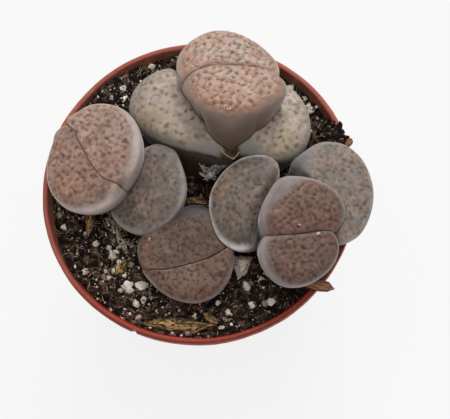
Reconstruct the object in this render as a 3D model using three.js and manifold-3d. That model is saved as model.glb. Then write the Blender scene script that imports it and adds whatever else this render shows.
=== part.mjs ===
// A clump of living stones in a small round plastic pot.
// Millimetres, +Z up. The origin is the middle of the pot's underside, +X is to the viewer's right
// and +Y is away from the viewer.
import * as THREE from "three";
import { mergeVertices } from "three/addons/utils/BufferGeometryUtils.js";
import Module from "manifold-3d";

const wasm = await Module();
wasm.setup();

// Driving dimensions of the pot
const POT_HEIGHT = 58;
const RIM_RADIUS = 40;
const RIM_WIDTH = 1.35;
const LIP_HEIGHT = 2.4;
const LIP_OVERHANG = 0.5;
const BASE_RADIUS = 26;
const WALL = 0.85;
const FLOOR = 2;
const EDGE_ROUND = 0.3;
const STEP_HEIGHT = 43;
const STEP_DEPTH = 0.7;
const POT_SIDES = 56;
const DRAIN_HOLES = 6;
const DRAIN_SIDES = 14;
const DRAIN_RADIUS = 2.6;
const DRAIN_CIRCLE = 19.5;
const CHANNEL_DEPTH = 0.9;
const CHANNEL_WIDTH = 3.2;
const STEP_FOOT = STEP_HEIGHT - STEP_DEPTH;
const LIP_FOOT = POT_HEIGHT - LIP_HEIGHT;
const NICK = { angle: 246, width: 1.6, depth: 0.5 };

// Driving dimensions of the soil. Mounds and hollows: x, y, rise and spread.
const SOIL_LEVEL = POT_HEIGHT - 3.4;
const MOUNDS = [
  [-25, 27, 2, 13],
  [-33, -20, 2, 8],
  [36, 13, 4.2, 5],
  [2, -2, -2, 8],
];
const SOIL_CLEARANCE = 0.45;
const SOIL_RINGS = 9;
const SOIL_SIDES = 40;
const CRUMBS = 24;
const CRUMB_SEED = 7;
const CRUMB_REACH = 35;
const SMALLEST_CRUMB = 1.6;
const LARGEST_CRUMB = 3.4;
const LUMP_ROUGHNESS = 0.18;
const LUMP_FLATNESS = 0.85;

// Lumps of soil that have spilled over the rim: x, y, height of the middle over the rim, diameter
const SPILLED = [
  [33.4, 16.6, -0.4, 4.4], [35.1, 14.8, 0.4, 3.8], [36.8, 12.8, 0.8, 3], [36, 10.8, 0.1, 3.2],
  [38, 12.8, 1.1, 1.8], [36.4, 16, 0.9, 2],
];

// Running gap between pieces that touch on the real plant
const GAP = 0.3;

// A leaf's form: how finely it is drawn, how square its shoulder is where it is free and where it
// presses on its pair, how far round that crease reaches, how full its flank and foot are, and how
// much of the face's lean the flank keeps where it leaves the shoulder
const AROUND = 20;
const DOME_ANGLES = [22, 42, 60, 76, 90];
const FLANK_STEPS = [0.16, 0.36, 0.58, 0.8, 1];
const ROUND_SHOULDER = 3.2;
const CREASE_SHOULDER = 10;
const CREASE_SPAN = 0.7;
const FLANK_FULLNESS = 0.32;
const FLANK_LEAN = 0.35;
const FOOT_ROUND = 0.35;
const FISSURE_WIDTH = 0.36;
const FISSURE_DEPTH = 2;

const RAD = Math.PI / 180;
const UP = new THREE.Vector3(0, 0, 1);
const MERGE = 1e-4;
const aboveRim = (height) => POT_HEIGHT + height;

// Leaves, measured on the photograph at the scale of the rim. A head is one pair of leaves grown
// together at the foot. face.at is a point on the plane through the shoulders of both leaves, in
// millimetres above the rim, and the plane leans by lean degrees toward a compass angle that is
// counted from +X to +Y. Each outline is a leaf's shoulder line as seen from straight above.
// crease is the direction, seen from the leaf, in which its pair leaf presses against it. waist is
// how far the flank reaches from a middle point at half its height: compass angle and distance.
const HEADS = {
  left_new_leaf_pair: {
    face: { at: [-25, 5.3, 10], lean: 18, toward: 175 },
    dome: 3.2,
    fissure: [
      [-32.4, 16.4], [-29.4, 12.4], [-27.4, 8.5], [-24.4, 2.5], [-20.8, -1.7], [-17.6, -3.4],
      [-14.6, -5],
    ],
    leaves: [
      {
        crease: 40,
        foot: { at: [-22, 6, -10], radius: 4.6 },
        outline: [
          [-34.6, 14], [-31, 14.8], [-27.3, 8.7], [-24.2, 2.7], [-20.8, -1.4], [-17.9, -3],
          [-20.6, -6.4], [-25.7, -8.4], [-32.5, -6.6], [-36.9, -1], [-37.7, 5.5], [-36.5, 10.8],
        ],
      },
      {
        crease: 220,
        foot: { at: [-21, 8.5, -10], radius: 4.6 },
        outline: [
          [-31.6, 14.4], [-31.9, 17], [-27.8, 19.8], [-23, 20], [-18.2, 18], [-14.8, 14.2],
          [-13.1, 9.2], [-13.4, 4.8], [-15.4, 0], [-18, -3], [-20.8, -1.8], [-24.6, 2.3], [-27.7, 8.3],
        ],
      },
    ],
  },
  left_old_leaf_pair: {
    face: { at: [-12.5, -1, 4], lean: 12, toward: 190 },
    dome: 2.6,
    leaves: [
      {
        foot: { at: [-11.5, 0, -11], radius: 5 },
        outline: [
          [-10, 10.8], [-6, 9.2], [-3.8, 5], [-2.6, -1.5], [-4, -6.5], [-8, -11], [-13.5, -12.6],
          [-19, -10.4], [-22, -6], [-21, 0.5], [-17, 6.5], [-13.6, 9.8],
        ],
      },
    ],
  },
  back_new_leaf_pair: {
    face: { at: [8.8, 24, 15], lean: 22, toward: 82 },
    dome: 3.6,
    leaves: [
      {
        crease: 262,
        creaseShoulder: 4.5,
        foot: { at: [7.5, 16, -7], radius: 6.5 },
        outline: [
          [-4.3, 27], [-3.8, 31.5], [-0.5, 36], [4.5, 38.6], [9.5, 38.2], [14.5, 35.6],
          [18.8, 31.5], [21.4, 26.8], [20.8, 23.2], [16, 22.6], [9, 22.4], [1.5, 22.4], [-2.8, 23.6],
        ],
      },
      {
        crease: 82,
        creaseShoulder: 3.6,
        foot: { at: [8.5, 13.5, -7], radius: 6 },
        waist: {
          at: [9, 18, 8.7],
          reach: [
            [5, 12.7], [85, 7], [165, 10], [208, 6.8], [251, 10.1], [268, 10.9], [285, 9.7],
            [310, 7.9], [344, 9.9],
          ],
        },
        outline: [
          [-2.4, 20.6], [-1.2, 24], [2.8, 25.8], [8.5, 26.2], [14.5, 25.6], [19.8, 24.2],
          [23.1, 21.4], [22.5, 17.6], [18.4, 14], [13.4, 12], [8.4, 11.6], [3.4, 13.2], [-0.4, 16.6],
        ],
      },
    ],
  },
  back_old_leaf_pair: {
    face: { at: [6, 16, 7], lean: 10, toward: 90 },
    dome: 3.6,
    leaves: [
      {
        face: { at: [-6.3, 19.4, 6.5], lean: 14, toward: 125, droop: 0.008 },
        crease: 330,
        creaseShoulder: 4.5,
        foot: { at: [3.4, 6, -11], radius: 7 },
        outline: [
          [-6.4, 31.6], [-10.6, 31.2], [-14.8, 28.4], [-17, 24.2], [-17.2, 19.4], [-14.4, 14.6],
          [-9.4, 11], [-3.4, 8.2], [2, 6.2], [6.4, 5], [9.2, 5.2], [6.4, 8.6], [3.4, 14.4], [0, 20],
          [-3.4, 26],
        ],
      },
      {
        face: { at: [19, 15, 6], lean: 14, toward: 45, droop: 0.004 },
        crease: 190,
        creaseShoulder: 4.5,
        foot: { at: [10, 9.5, -11], radius: 6 },
        outline: [
          [18, 25.2], [22.4, 26.2], [25.6, 23.6], [28, 19.2], [28.8, 14], [27.8, 9.4], [25.2, 6],
          [21.6, 4.8], [17, 5.4], [12.6, 6.2], [9.4, 6.8], [11, 8.8], [12.6, 12], [15.6, 18.6],
        ],
      },
    ],
  },
  right_new_leaf_pair: {
    face: { at: [26, -16, 12], lean: 21, toward: -35 },
    dome: 3.4,
    leaves: [
      {
        crease: 262,
        creaseShoulder: 4.2,
        foot: { at: [19.5, -9, -9], radius: 6 },
        outline: [
          [21.4, -2.8], [25.6, -2], [31, -2.9], [35.2, -5.4], [37, -9.2], [36.2, -12.8], [33.8, -14.6],
          [28, -15.6], [20.6, -16.8], [17.2, -15.8], [16.2, -12], [18, -7.2],
        ],
      },
      {
        crease: 82,
        creaseShoulder: 4.2,
        foot: { at: [20, -12, -9], radius: 6 },
        outline: [
          [17, -17.6], [20.6, -16.6], [28, -15.4], [32.8, -14.6], [35, -17.6], [34.2, -22], [30.6, -26],
          [25.6, -28.4], [21, -28.2], [17.6, -25.4], [16, -21.6],
        ],
      },
    ],
  },
  right_old_leaf_pair: {
    face: { at: [22, -4, 6], lean: 10, toward: -20 },
    dome: 3,
    leaves: [
      {
        face: { at: [11.7, -6.2, 7.8], lean: 8, toward: 200 },
        crease: 350,
        creaseShoulder: 4.5,
        foot: { at: [15.5, -7.5, -10], radius: 5.5 },
        outline: [
          [10.8, 4.9], [14, 5.8], [18.2, 5.3], [20.7, 3], [20.3, -0.2], [18.7, -3.1], [16.5, -7.3],
          [15.3, -12.1], [13.7, -17.3], [10.1, -18.1], [5.9, -15.3], [3.7, -10.1], [3.5, -3.9], [6.5, 1.6],
        ],
      },
      {
        face: { at: [33.6, -3.6, 8], lean: 14, toward: 10 },
        crease: 220,
        creaseShoulder: 4,
        foot: { at: [23, -7, -10], radius: 6 },
        outline: [
          [23.8, 2.4], [27.2, 6.3], [31.6, 9], [37.2, 8.6], [41.8, 4.4], [44.1, -3], [43, -10.2],
          [40, -15.2], [35.4, -16.8], [33, -12.6], [31, -6.8], [27, -1.6],
        ],
      },
    ],
  },
  front_leaf_pair: {
    face: { at: [-2.8, -18.2, 3.2], lean: 12, toward: 265 },
    dome: 3.2,
    fissure: [
      [-17, -21.2], [-13.2, -21.5], [-9.2, -21.6], [-5.5, -21.3], [-1.7, -20.5], [2, -19.5],
      [5.2, -18.3], [8.2, -16.8], [11, -15],
    ],
    leaves: [
      {
        crease: 268,
        foot: { at: [-2.5, -13, -11], radius: 6 },
        outline: [
          [-13.6, -21.2], [-14.7, -18.6], [-14.9, -15.6], [-13.4, -13], [-10, -11.4], [-6.4, -9.1],
          [-3.8, -6.7], [-0.6, -5.9], [3.4, -7], [7.2, -10.6], [8.8, -16.2], [5.2, -18.4], [2, -19.6],
          [-1.7, -20.6], [-5.5, -21.4], [-9.2, -21.7],
        ],
      },
      {
        crease: 88,
        foot: { at: [-2.5, -14.5, -11], radius: 6 },
        outline: [
          [-13.8, -21.3], [-9.2, -21.5], [-5.5, -21.2], [-1.7, -20.4], [2, -19.4], [5.2, -18.2],
          [8.6, -16.6], [9, -20.4], [7.6, -24.6], [4.6, -28], [0.6, -29.7], [-3.2, -29.6],
          [-7.4, -28.1], [-11.4, -25],
        ],
      },
    ],
  },
};

// The torn sheath that a new pair has pushed through: the line of its foot, and its height there
const TORN_SHEATH = {
  line: [[4.3, 10.6, 7.6], [5.9, 8, 7.4], [7.7, 6.4, 7], [9.2, 5.9, 6.8], [10.6, 6.7, 7], [11.6, 8.6, 7.2]],
  height: 2.4,
  thickness: 0.6,
};

// The dried flower stalk between the heads: blades from a middle point, each with its tip
const FLOWER_STALK = {
  seed: 41,
  at: [3.4, 3, 3.4],
  core: 2.2,
  thickness: 0.7,
  width: 1.1,
  tips: [[1.4, 4.4, 4.6], [1.6, 2.6, 4.4], [3, 1.4, 4.2], [4.4, 1.6, 3.6], [4.6, 4.6, 5], [7.6, 5, 5.6]],
};

// White grains of perlite that show in the photograph: x, y and diameter
const PERLITE = [
  [-18.1, -24.9, 2.8], [-14.7, -24.4, 2.6], [-16, -28.7, 2], [-14.1, -27.8, 2.3], [-26.4, -13.3, 2.2],
  [-34.6, -8.4, 1.6], [-22.3, -16.8, 2.2], [-28.9, -20.4, 1.9], [-18.9, -21.3, 1.6], [10.9, -18.7, 3.8],
  [15.7, -23.3, 2], [11.7, -25, 2.4], [13.2, -29.7, 2.1], [18.2, -29, 2.3], [-12.6, 34.6, 2],
  [-20, 28.2, 1.8], [-19.7, 25.8, 2.1], [24, 28.2, 2], [27.2, 24.8, 1.9], [28.4, 22, 2.4],
];
const PERLITE_SEED = 100;
const PERLITE_LIFT = 0.22;
const FINE_GRAIN = 2.3;

// Dry husks. turn is the compass angle of the long way. One that doesn't lie on the soil has its
// height over the rim in lies, and slope is how steeply its long way rises, in degrees.
const HUSKS = [
  { x: -28, y: -8, length: 5.6, width: 3, turn: 262, lies: -2.4, slope: -12 },
  { x: -5.4, y: -34.5, length: 15, width: 3.6, turn: 356 },
  { x: 2.8, y: -33, length: 4, width: 1.9, turn: 325 },
  { x: -19.9, y: -19.4, length: 4.4, width: 2.8, turn: 235 },
  { x: -1, y: -2.4, length: 6, width: 2.4, turn: 352, lies: -3 },
  { x: 29.4, y: -25.9, length: 8.6, width: 2.8, turn: 347, lies: 1, slope: 3 },
  { x: 38.3, y: 11, length: 2.5, width: 1.8, turn: 60, lies: 1.2 },
];
const HUSK_THICKNESS = 0.6;
const HUSK_ARCH = 0.26;
const HUSK_BLUNT = 0.12;
const HUSK_LIFT = 0.5;

// A seeded random draw
function drawFrom(seed) {
  let state = seed;
  return () => {
    state = (state + 0x6d2b79f5) | 0;
    let t = Math.imul(state ^ (state >>> 15), 1 | state);
    t = (t + Math.imul(t ^ (t >>> 7), 61 | t)) ^ t;
    return ((t ^ (t >>> 14)) >>> 0) / 4294967296;
  };
}

// Smooth noise over the plane, from -1 to 1
function hash2(i, j) {
  const s = Math.sin(i * 127.1 + j * 311.7) * 43758.5453;
  return (s - Math.floor(s)) * 2 - 1;
}

function noise2(x, y) {
  const i = Math.floor(x);
  const j = Math.floor(y);
  const u = THREE.MathUtils.smoothstep(x - i, 0, 1);
  const v = THREE.MathUtils.smoothstep(y - j, 0, 1);
  const low = THREE.MathUtils.lerp(hash2(i, j), hash2(i + 1, j), u);
  const high = THREE.MathUtils.lerp(hash2(i, j + 1), hash2(i + 1, j + 1), u);
  return THREE.MathUtils.lerp(low, high, v);
}

// Height of the soil at a place
function soilTop(x, y) {
  const lumps = 0.45 * noise2(x / 6, y / 6) + 0.35 * noise2(x / 2.4 + 9, y / 2.4);
  const mound = ([mx, my, rise, spread]) => rise * Math.exp(-((x - mx) ** 2 + (y - my) ** 2) / spread ** 2);
  return MOUNDS.reduce((height, at) => height + mound(at), SOIL_LEVEL + lumps);
}

// A geometry's points and faces alone
function bareOf(geometry) {
  const bare = new THREE.BufferGeometry();
  bare.setAttribute("position", geometry.getAttribute("position"));
  if (geometry.index) bare.setIndex(geometry.index);
  return bare;
}

// Geometry and solids, each way
function solidOf(geometry) {
  const merged = mergeVertices(bareOf(geometry), MERGE);
  return new wasm.Manifold(
    new wasm.Mesh({
      numProp: 3,
      vertProperties: new Float32Array(merged.attributes.position.array),
      triVerts: new Uint32Array(merged.index.array),
    }),
  );
}

function geometryOf(solid) {
  const mesh = solid.getMesh();
  const geometry = new THREE.BufferGeometry();
  geometry.setAttribute("position", new THREE.BufferAttribute(new Float32Array(mesh.vertProperties), 3));
  geometry.setIndex(new THREE.BufferAttribute(new Uint32Array(mesh.triVerts), 1));
  const flat = geometry.toNonIndexed();
  flat.computeVertexNormals();
  return flat;
}

// The largest body of a solid that a cut may have left in several
function mainBody(solid) {
  return solid.decompose().reduce((a, b) => (b.volume() > a.volume() ? b : a));
}

// A closed skin over rings of points, from a top point down to a bottom point
function skin(top, rings, bottom) {
  const points = [top, ...rings.flat(), bottom];
  const sides = rings[0].length;
  const at = (ring, side) => 1 + ring * sides + (side % sides);
  const index = [];
  for (let side = 0; side < sides; side++) {
    index.push(0, at(0, side), at(0, side + 1));
    for (let ring = 0; ring < rings.length - 1; ring++) {
      index.push(at(ring, side), at(ring + 1, side), at(ring + 1, side + 1));
      index.push(at(ring, side), at(ring + 1, side + 1), at(ring, side + 1));
    }
    index.push(at(rings.length - 1, side), points.length - 1, at(rings.length - 1, side + 1));
  }
  const geometry = new THREE.BufferGeometry();
  geometry.setAttribute("position", new THREE.Float32BufferAttribute(points.flatMap((p) => p.toArray()), 3));
  geometry.setIndex(index);
  return geometry;
}

// A closed slab between two grids of points
function slab(top, bottom, along, across) {
  const points = [...top, ...bottom];
  const under = top.length;
  const at = (i, j) => i * (across + 1) + j;
  const index = [];
  const quad = (a, b, c, d) => index.push(a, b, c, a, c, d);
  for (let i = 0; i < along; i++) {
    for (let j = 0; j < across; j++) {
      quad(at(i, j), at(i + 1, j), at(i + 1, j + 1), at(i, j + 1));
      quad(under + at(i, j), under + at(i, j + 1), under + at(i + 1, j + 1), under + at(i + 1, j));
    }
    quad(at(i, 0), under + at(i, 0), under + at(i + 1, 0), at(i + 1, 0));
    quad(at(i, across), at(i + 1, across), under + at(i + 1, across), under + at(i, across));
  }
  for (let j = 0; j < across; j++) {
    quad(at(0, j), at(0, j + 1), under + at(0, j + 1), under + at(0, j));
    quad(at(along, j), under + at(along, j), under + at(along, j + 1), at(along, j + 1));
  }
  const geometry = new THREE.BufferGeometry();
  geometry.setAttribute("position", new THREE.Float32BufferAttribute(points.flatMap((p) => p.toArray()), 3));
  geometry.setIndex(index);
  return geometry;
}

// The upward normal of a leaning plane
function leaning({ lean, toward }) {
  const flat = Math.sin(lean * RAD);
  const up = Math.cos(lean * RAD);
  return new THREE.Vector3(flat * Math.cos(toward * RAD), flat * Math.sin(toward * RAD), up);
}

// Height of a leaf's shoulder plane at a place; droop lowers it away from its middle
function faceHeight(face, x, y) {
  const normal = leaning(face);
  const dx = x - face.at[0];
  const dy = y - face.at[1];
  const fall = (dx * normal.x + dy * normal.y) / normal.z;
  return aboveRim(face.at[2]) - fall - (face.droop ?? 0) * (dx * dx + dy * dy);
}

// An outline seen from above, as evenly spaced points on a smooth closed curve, counterclockwise
function smoothOutline(outline, count, grow) {
  const corners = outline.map(([x, y]) => new THREE.Vector3(x, y, 0));
  const curve = new THREE.CatmullRomCurve3(corners, true, "centripetal");
  const points = curve.getSpacedPoints(count).slice(0, count);
  if (THREE.ShapeUtils.area(points) < 0) points.reverse();
  return points.map((p, i) => {
    const along = points[(i + 1) % count].clone().sub(points[(i + count - 1) % count]).normalize();
    return new THREE.Vector3(p.x + along.y * grow, p.y - along.x * grow, 0);
  });
}

// The point of a leaf's waist in a direction
function waistPoint({ at: [x, y, height], reach }, outward, grow) {
  const [[start, startReach]] = reach;
  const angle = Math.atan2(outward.y, outward.x) / RAD;
  const turn = THREE.MathUtils.euclideanModulo(angle - start, 360) + start;
  const round = [...reach, [start + 360, startReach]];
  const next = round.findIndex(([to]) => to > turn);
  const [from, near] = round[next - 1];
  const [to, far] = round[next];
  const distance = THREE.MathUtils.mapLinear(turn, from, to, near, far) + grow;
  return new THREE.Vector3(x, y, aboveRim(height)).addScaledVector(outward, distance);
}

// One leaf: a cushion-shaped face on a leaning plane, a rounded shoulder and a flank that narrows
// to its foot. grow makes it larger all round, for the room that its neighbours leave it.
function leafGeometry(head, leaf, grow) {
  const face = leaf.face ?? head.face;
  const normal = leaning(face);
  const shoulder = smoothOutline(leaf.outline, AROUND, grow);
  for (const p of shoulder) p.z = faceHeight(face, p.x, p.y);
  const centre = shoulder.reduce((sum, p) => sum.add(p), new THREE.Vector3()).divideScalar(AROUND);
  const dome = head.dome + grow;
  const { crease = 0, creaseShoulder = "crease" in leaf ? CREASE_SHOULDER : ROUND_SHOULDER } = leaf;
  const creaseWay = new THREE.Vector3(Math.cos(crease * RAD), Math.sin(crease * RAD), 0);
  const sharpness = shoulder.map((p) => {
    const outward = p.clone().sub(centre).setZ(0).normalize();
    const press = THREE.MathUtils.smoothstep(outward.dot(creaseWay), 0, CREASE_SPAN);
    return THREE.MathUtils.lerp(ROUND_SHOULDER, creaseShoulder, press);
  });
  const domeRings = DOME_ANGLES.map((angle) =>
    shoulder.map((p, i) => {
      const reach = Math.sin(angle * RAD) ** (2 / sharpness[i]);
      return centre.clone().lerp(p, reach).addScaledVector(normal, dome * Math.cos(angle * RAD));
    }),
  );
  const [footX, footY, footZ] = leaf.foot.at;
  const foot = new THREE.Vector3(footX, footY, aboveRim(footZ) - grow);
  const footRadius = leaf.foot.radius + grow;
  const below = normal.clone().lerp(UP, 1 - FLANK_LEAN).normalize().negate();
  const flanks = shoulder.map((p) => {
    const outward = p.clone().sub(centre).setZ(0).normalize();
    const end = foot.clone().addScaledVector(outward, footRadius);
    const middle = p.clone().add(end).multiplyScalar(0.5);
    const belly = leaf.waist
      ? waistPoint(leaf.waist, outward, grow).multiplyScalar(2).sub(middle)
      : p.clone().addScaledVector(below, FLANK_FULLNESS * p.distanceTo(end));
    return new THREE.QuadraticBezierCurve3(p, belly, end);
  });
  const flankRings = FLANK_STEPS.map((t) => flanks.map((curve) => curve.getPoint(t)));
  const top = centre.clone().addScaledVector(normal, dome);
  const bottom = foot.clone().add(new THREE.Vector3(0, 0, -FOOT_ROUND * footRadius));
  return skin(top, [...domeRings, ...flankRings], bottom);
}

// An upright ribbon along a line of [x, y, z] points, which are the middle of its foot
function ribbon(line, height, thickness) {
  const steps = 2 * (line.length - 1);
  const curve = new THREE.CatmullRomCurve3(line.map((p) => new THREE.Vector3(...p)), false, "centripetal");
  const left = [];
  const right = [];
  for (let i = 0; i <= steps; i++) {
    const foot = curve.getPoint(i / steps);
    const along = curve.getTangent(i / steps).setZ(0).normalize();
    const half = new THREE.Vector3(-along.y, along.x, 0).multiplyScalar(thickness / 2);
    for (const level of [0, height]) {
      const middle = foot.clone().setZ(foot.z + level);
      left.push(middle.clone().add(half));
      right.push(middle.clone().sub(half));
    }
  }
  return solidOf(slab(right, left, steps, 1));
}

// The slit between two leaves that press flush together, cut a little way down from their faces
function fissureSlit({ face, dome, fissure }) {
  const line = fissure.map(([x, y]) => [x, y, faceHeight(face, x, y) - FISSURE_DEPTH]);
  return ribbon(line, 2 * FISSURE_DEPTH + dome, FISSURE_WIDTH);
}

// A head: its leaves joined in one body
function headSolid(name, grow = 0) {
  const head = HEADS[name];
  const leaves = head.leaves.map((leaf) => solidOf(leafGeometry(head, leaf, grow)));
  const whole = leaves.reduce((body, leaf) => body.add(leaf));
  return head.fissure && grow === 0 ? whole.subtract(fissureSlit(head)) : whole;
}

// The torn sheath round the foot of the back head
function tornSheath(grow) {
  const { line, height, thickness } = TORN_SHEATH;
  const feet = line.map(([x, y, z]) => [x, y, aboveRim(z) - grow]);
  return ribbon(feet, height + 2 * grow, thickness + 2 * grow);
}

// The pot's tapered wall
function outerRadius(z) {
  return BASE_RADIUS + ((RIM_RADIUS - LIP_OVERHANG - BASE_RADIUS) * z) / POT_HEIGHT;
}

function innerRadius(z) {
  return outerRadius(z) - WALL;
}

// A closed section of [radius, height] points, turned about Z
function turned(section) {
  const points = section.map(([radius, height]) => new THREE.Vector2(radius, height));
  return solidOf(new THREE.LatheGeometry(points, POT_SIDES).rotateX(Math.PI / 2));
}

function potWall() {
  const rimInside = RIM_RADIUS - RIM_WIDTH;
  return turned([
    [0, 0],
    [BASE_RADIUS - EDGE_ROUND, 0],
    [BASE_RADIUS, EDGE_ROUND],
    [outerRadius(STEP_FOOT) - STEP_DEPTH, STEP_FOOT],
    [outerRadius(STEP_HEIGHT), STEP_HEIGHT],
    [outerRadius(LIP_FOOT), LIP_FOOT],
    [RIM_RADIUS - EDGE_ROUND, LIP_FOOT],
    [RIM_RADIUS - EDGE_ROUND / 2, LIP_FOOT + EDGE_ROUND / 2],
    [RIM_RADIUS, POT_HEIGHT - EDGE_ROUND],
    [RIM_RADIUS - EDGE_ROUND, POT_HEIGHT],
    [rimInside + EDGE_ROUND, POT_HEIGHT],
    [rimInside, POT_HEIGHT - EDGE_ROUND],
    [innerRadius(LIP_FOOT), LIP_FOOT],
    [innerRadius(STEP_HEIGHT), STEP_HEIGHT],
    [innerRadius(STEP_FOOT) - STEP_DEPTH, STEP_FOOT],
    [innerRadius(FLOOR), FLOOR],
    [0, FLOOR],
  ]);
}

function drainCuts() {
  const cuts = [];
  for (let i = 0; i < DRAIN_HOLES; i++) {
    const angle = (i * 2 * Math.PI) / DRAIN_HOLES;
    const hole = new THREE.CylinderGeometry(DRAIN_RADIUS, DRAIN_RADIUS, 3 * FLOOR, DRAIN_SIDES);
    hole.rotateX(Math.PI / 2).translate(DRAIN_CIRCLE, 0, 0).rotateZ(angle);
    const channelLength = BASE_RADIUS - DRAIN_CIRCLE + DRAIN_RADIUS;
    const channel = new THREE.BoxGeometry(channelLength, CHANNEL_WIDTH, 2 * CHANNEL_DEPTH);
    channel.translate(DRAIN_CIRCLE + channelLength / 2, 0, 0).rotateZ(angle);
    cuts.push(solidOf(hole), solidOf(channel));
  }
  return cuts;
}

function potSolid() {
  const nick = new THREE.BoxGeometry(2 * NICK.depth, NICK.width, 3 * LIP_HEIGHT);
  nick.translate(RIM_RADIUS, 0, POT_HEIGHT).rotateZ(NICK.angle * RAD);
  return [solidOf(nick), ...drainCuts()].reduce((pot, cut) => pot.subtract(cut), potWall());
}

// Room for the rim: what a leaf that leans on the rim has to leave free
function rimRoom() {
  const outside = RIM_RADIUS + 3 * LIP_HEIGHT;
  const rimInside = RIM_RADIUS - RIM_WIDTH - GAP;
  return turned([
    [innerRadius(STEP_FOOT) - STEP_DEPTH - GAP, STEP_FOOT],
    [outside, STEP_FOOT],
    [outside, POT_HEIGHT + GAP],
    [rimInside, POT_HEIGHT + GAP],
    [rimInside, POT_HEIGHT - EDGE_ROUND],
    [innerRadius(LIP_FOOT) - GAP, LIP_FOOT],
    [innerRadius(STEP_HEIGHT) - GAP, STEP_HEIGHT],
    [innerRadius(STEP_FOOT) - STEP_DEPTH - GAP, STEP_FOOT],
  ]);
}

// The soil: it fills the pot to an uneven top, with crumbs standing out of it
function soilBed() {
  const topRadius = innerRadius(SOIL_LEVEL) - SOIL_CLEARANCE;
  const rings = [];
  const ringAt = (radius, height) => {
    const ring = [];
    for (let side = 0; side < SOIL_SIDES; side++) {
      const angle = (side * 2 * Math.PI) / SOIL_SIDES;
      const x = radius * Math.cos(angle);
      const y = radius * Math.sin(angle);
      ring.push(new THREE.Vector3(x, y, height ?? soilTop(x, y)));
    }
    return ring;
  };
  for (let i = 1; i < SOIL_RINGS; i++) rings.push(ringAt((topRadius * i) / SOIL_RINGS));
  const edge = ringAt(topRadius);
  for (const p of edge) {
    const reach = Math.min(innerRadius(p.z), RIM_RADIUS - RIM_WIDTH) - SOIL_CLEARANCE;
    p.multiply(new THREE.Vector3(reach / topRadius, reach / topRadius, 1));
  }
  rings.push(edge);
  rings.push(ringAt(innerRadius(STEP_HEIGHT) - SOIL_CLEARANCE, STEP_HEIGHT));
  rings.push(ringAt(innerRadius(STEP_FOOT) - STEP_DEPTH - SOIL_CLEARANCE, STEP_FOOT));
  rings.push(ringAt(innerRadius(FLOOR) - SOIL_CLEARANCE, FLOOR + GAP));
  const middle = new THREE.Vector3(0, 0, soilTop(0, 0));
  return solidOf(skin(middle, rings, new THREE.Vector3(0, 0, FLOOR + GAP)));
}

// A rough lump: an icosahedron with its corners drawn in and out, a little flattened
function lumpGeometry(draw, diameter, detail, grow) {
  const geometry = mergeVertices(bareOf(new THREE.IcosahedronGeometry(1, detail)), MERGE);
  const place = geometry.attributes.position;
  const radius = diameter / 2 + grow;
  for (let i = 0; i < place.count; i++) {
    const corner = new THREE.Vector3().fromBufferAttribute(place, i);
    corner.multiplyScalar(radius * (1 + LUMP_ROUGHNESS * (2 * draw() - 1)));
    place.setXYZ(i, corner.x, corner.y, corner.z * LUMP_FLATNESS);
  }
  return geometry.rotateZ(draw() * 2 * Math.PI);
}

function crumbs() {
  const draw = drawFrom(CRUMB_SEED);
  const lumps = [];
  while (lumps.length < CRUMBS) {
    const reach = CRUMB_REACH * Math.sqrt(draw());
    const angle = 2 * Math.PI * draw();
    const x = reach * Math.cos(angle);
    const y = reach * Math.sin(angle);
    const size = THREE.MathUtils.lerp(SMALLEST_CRUMB, LARGEST_CRUMB, draw());
    lumps.push(solidOf(lumpGeometry(draw, size, 0, 0).translate(x, y, soilTop(x, y))));
  }
  for (const [x, y, height, diameter] of SPILLED) {
    lumps.push(solidOf(lumpGeometry(draw, diameter, 0, 0).translate(x, y, aboveRim(height))));
  }
  return lumps;
}

// A grain of perlite, about a quarter sunk in the soil
function perliteGrain(index, grow) {
  const [x, y, diameter] = PERLITE[index];
  const draw = drawFrom(PERLITE_SEED + index);
  const detail = diameter > FINE_GRAIN ? 1 : 0;
  const height = soilTop(x, y) + PERLITE_LIFT * diameter;
  return solidOf(lumpGeometry(draw, diameter, detail, grow).translate(x, y, height));
}

// A husk: a thin arched boat-shaped scale
function huskSolid(index, grow) {
  const { x, y, length, width, turn, lies, slope = 0 } = HUSKS[index];
  const along = 7;
  const across = 3;
  const half = HUSK_THICKNESS / 2 + grow;
  const top = [];
  const bottom = [];
  for (let i = 0; i <= along; i++) {
    for (let j = 0; j <= across; j++) {
      const u = (2 * i) / along - 1;
      const v = (2 * j) / across - 1;
      const fullness = HUSK_BLUNT + (1 - HUSK_BLUNT) * Math.sqrt(Math.max(0, 1 - u * u));
      const arch = HUSK_ARCH * width * (1 - v * v) * (1 - u * u / 2);
      const lengthwise = u * (length / 2 + grow);
      const crosswise = v * fullness * (width / 2 + grow);
      top.push(new THREE.Vector3(lengthwise, crosswise, arch + half));
      bottom.push(new THREE.Vector3(lengthwise, crosswise, arch - half));
    }
  }
  const height = lies === undefined ? soilTop(x, y) + HUSK_LIFT : aboveRim(lies);
  const geometry = slab(top, bottom, along, across).rotateY(-slope * RAD);
  return solidOf(geometry.rotateZ(turn * RAD).translate(x, y, height));
}

// The dried flower stalk: flat blades fanned out from a middle lump
function flowerStalk(grow) {
  const draw = drawFrom(FLOWER_STALK.seed);
  const middle = new THREE.Vector3(...FLOWER_STALK.at);
  middle.z = aboveRim(middle.z);
  const lump = lumpGeometry(draw, FLOWER_STALK.core, 0, grow);
  const core = solidOf(lump.translate(middle.x, middle.y, middle.z));
  return FLOWER_STALK.tips.reduce((bunch, tip) => {
    const end = new THREE.Vector3(tip[0], tip[1], aboveRim(tip[2]));
    const blade = new THREE.BoxGeometry(
      FLOWER_STALK.width + 2 * grow,
      FLOWER_STALK.thickness + 2 * grow,
      middle.distanceTo(end) + 2 * grow,
    );
    const turn = new THREE.Quaternion().setFromUnitVectors(
      UP,
      end.clone().sub(middle).normalize(),
    );
    const half = middle.clone().add(end).multiplyScalar(0.5);
    return bunch.add(solidOf(blade.applyQuaternion(turn).translate(half.x, half.y, half.z)));
  }, core);
}

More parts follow.
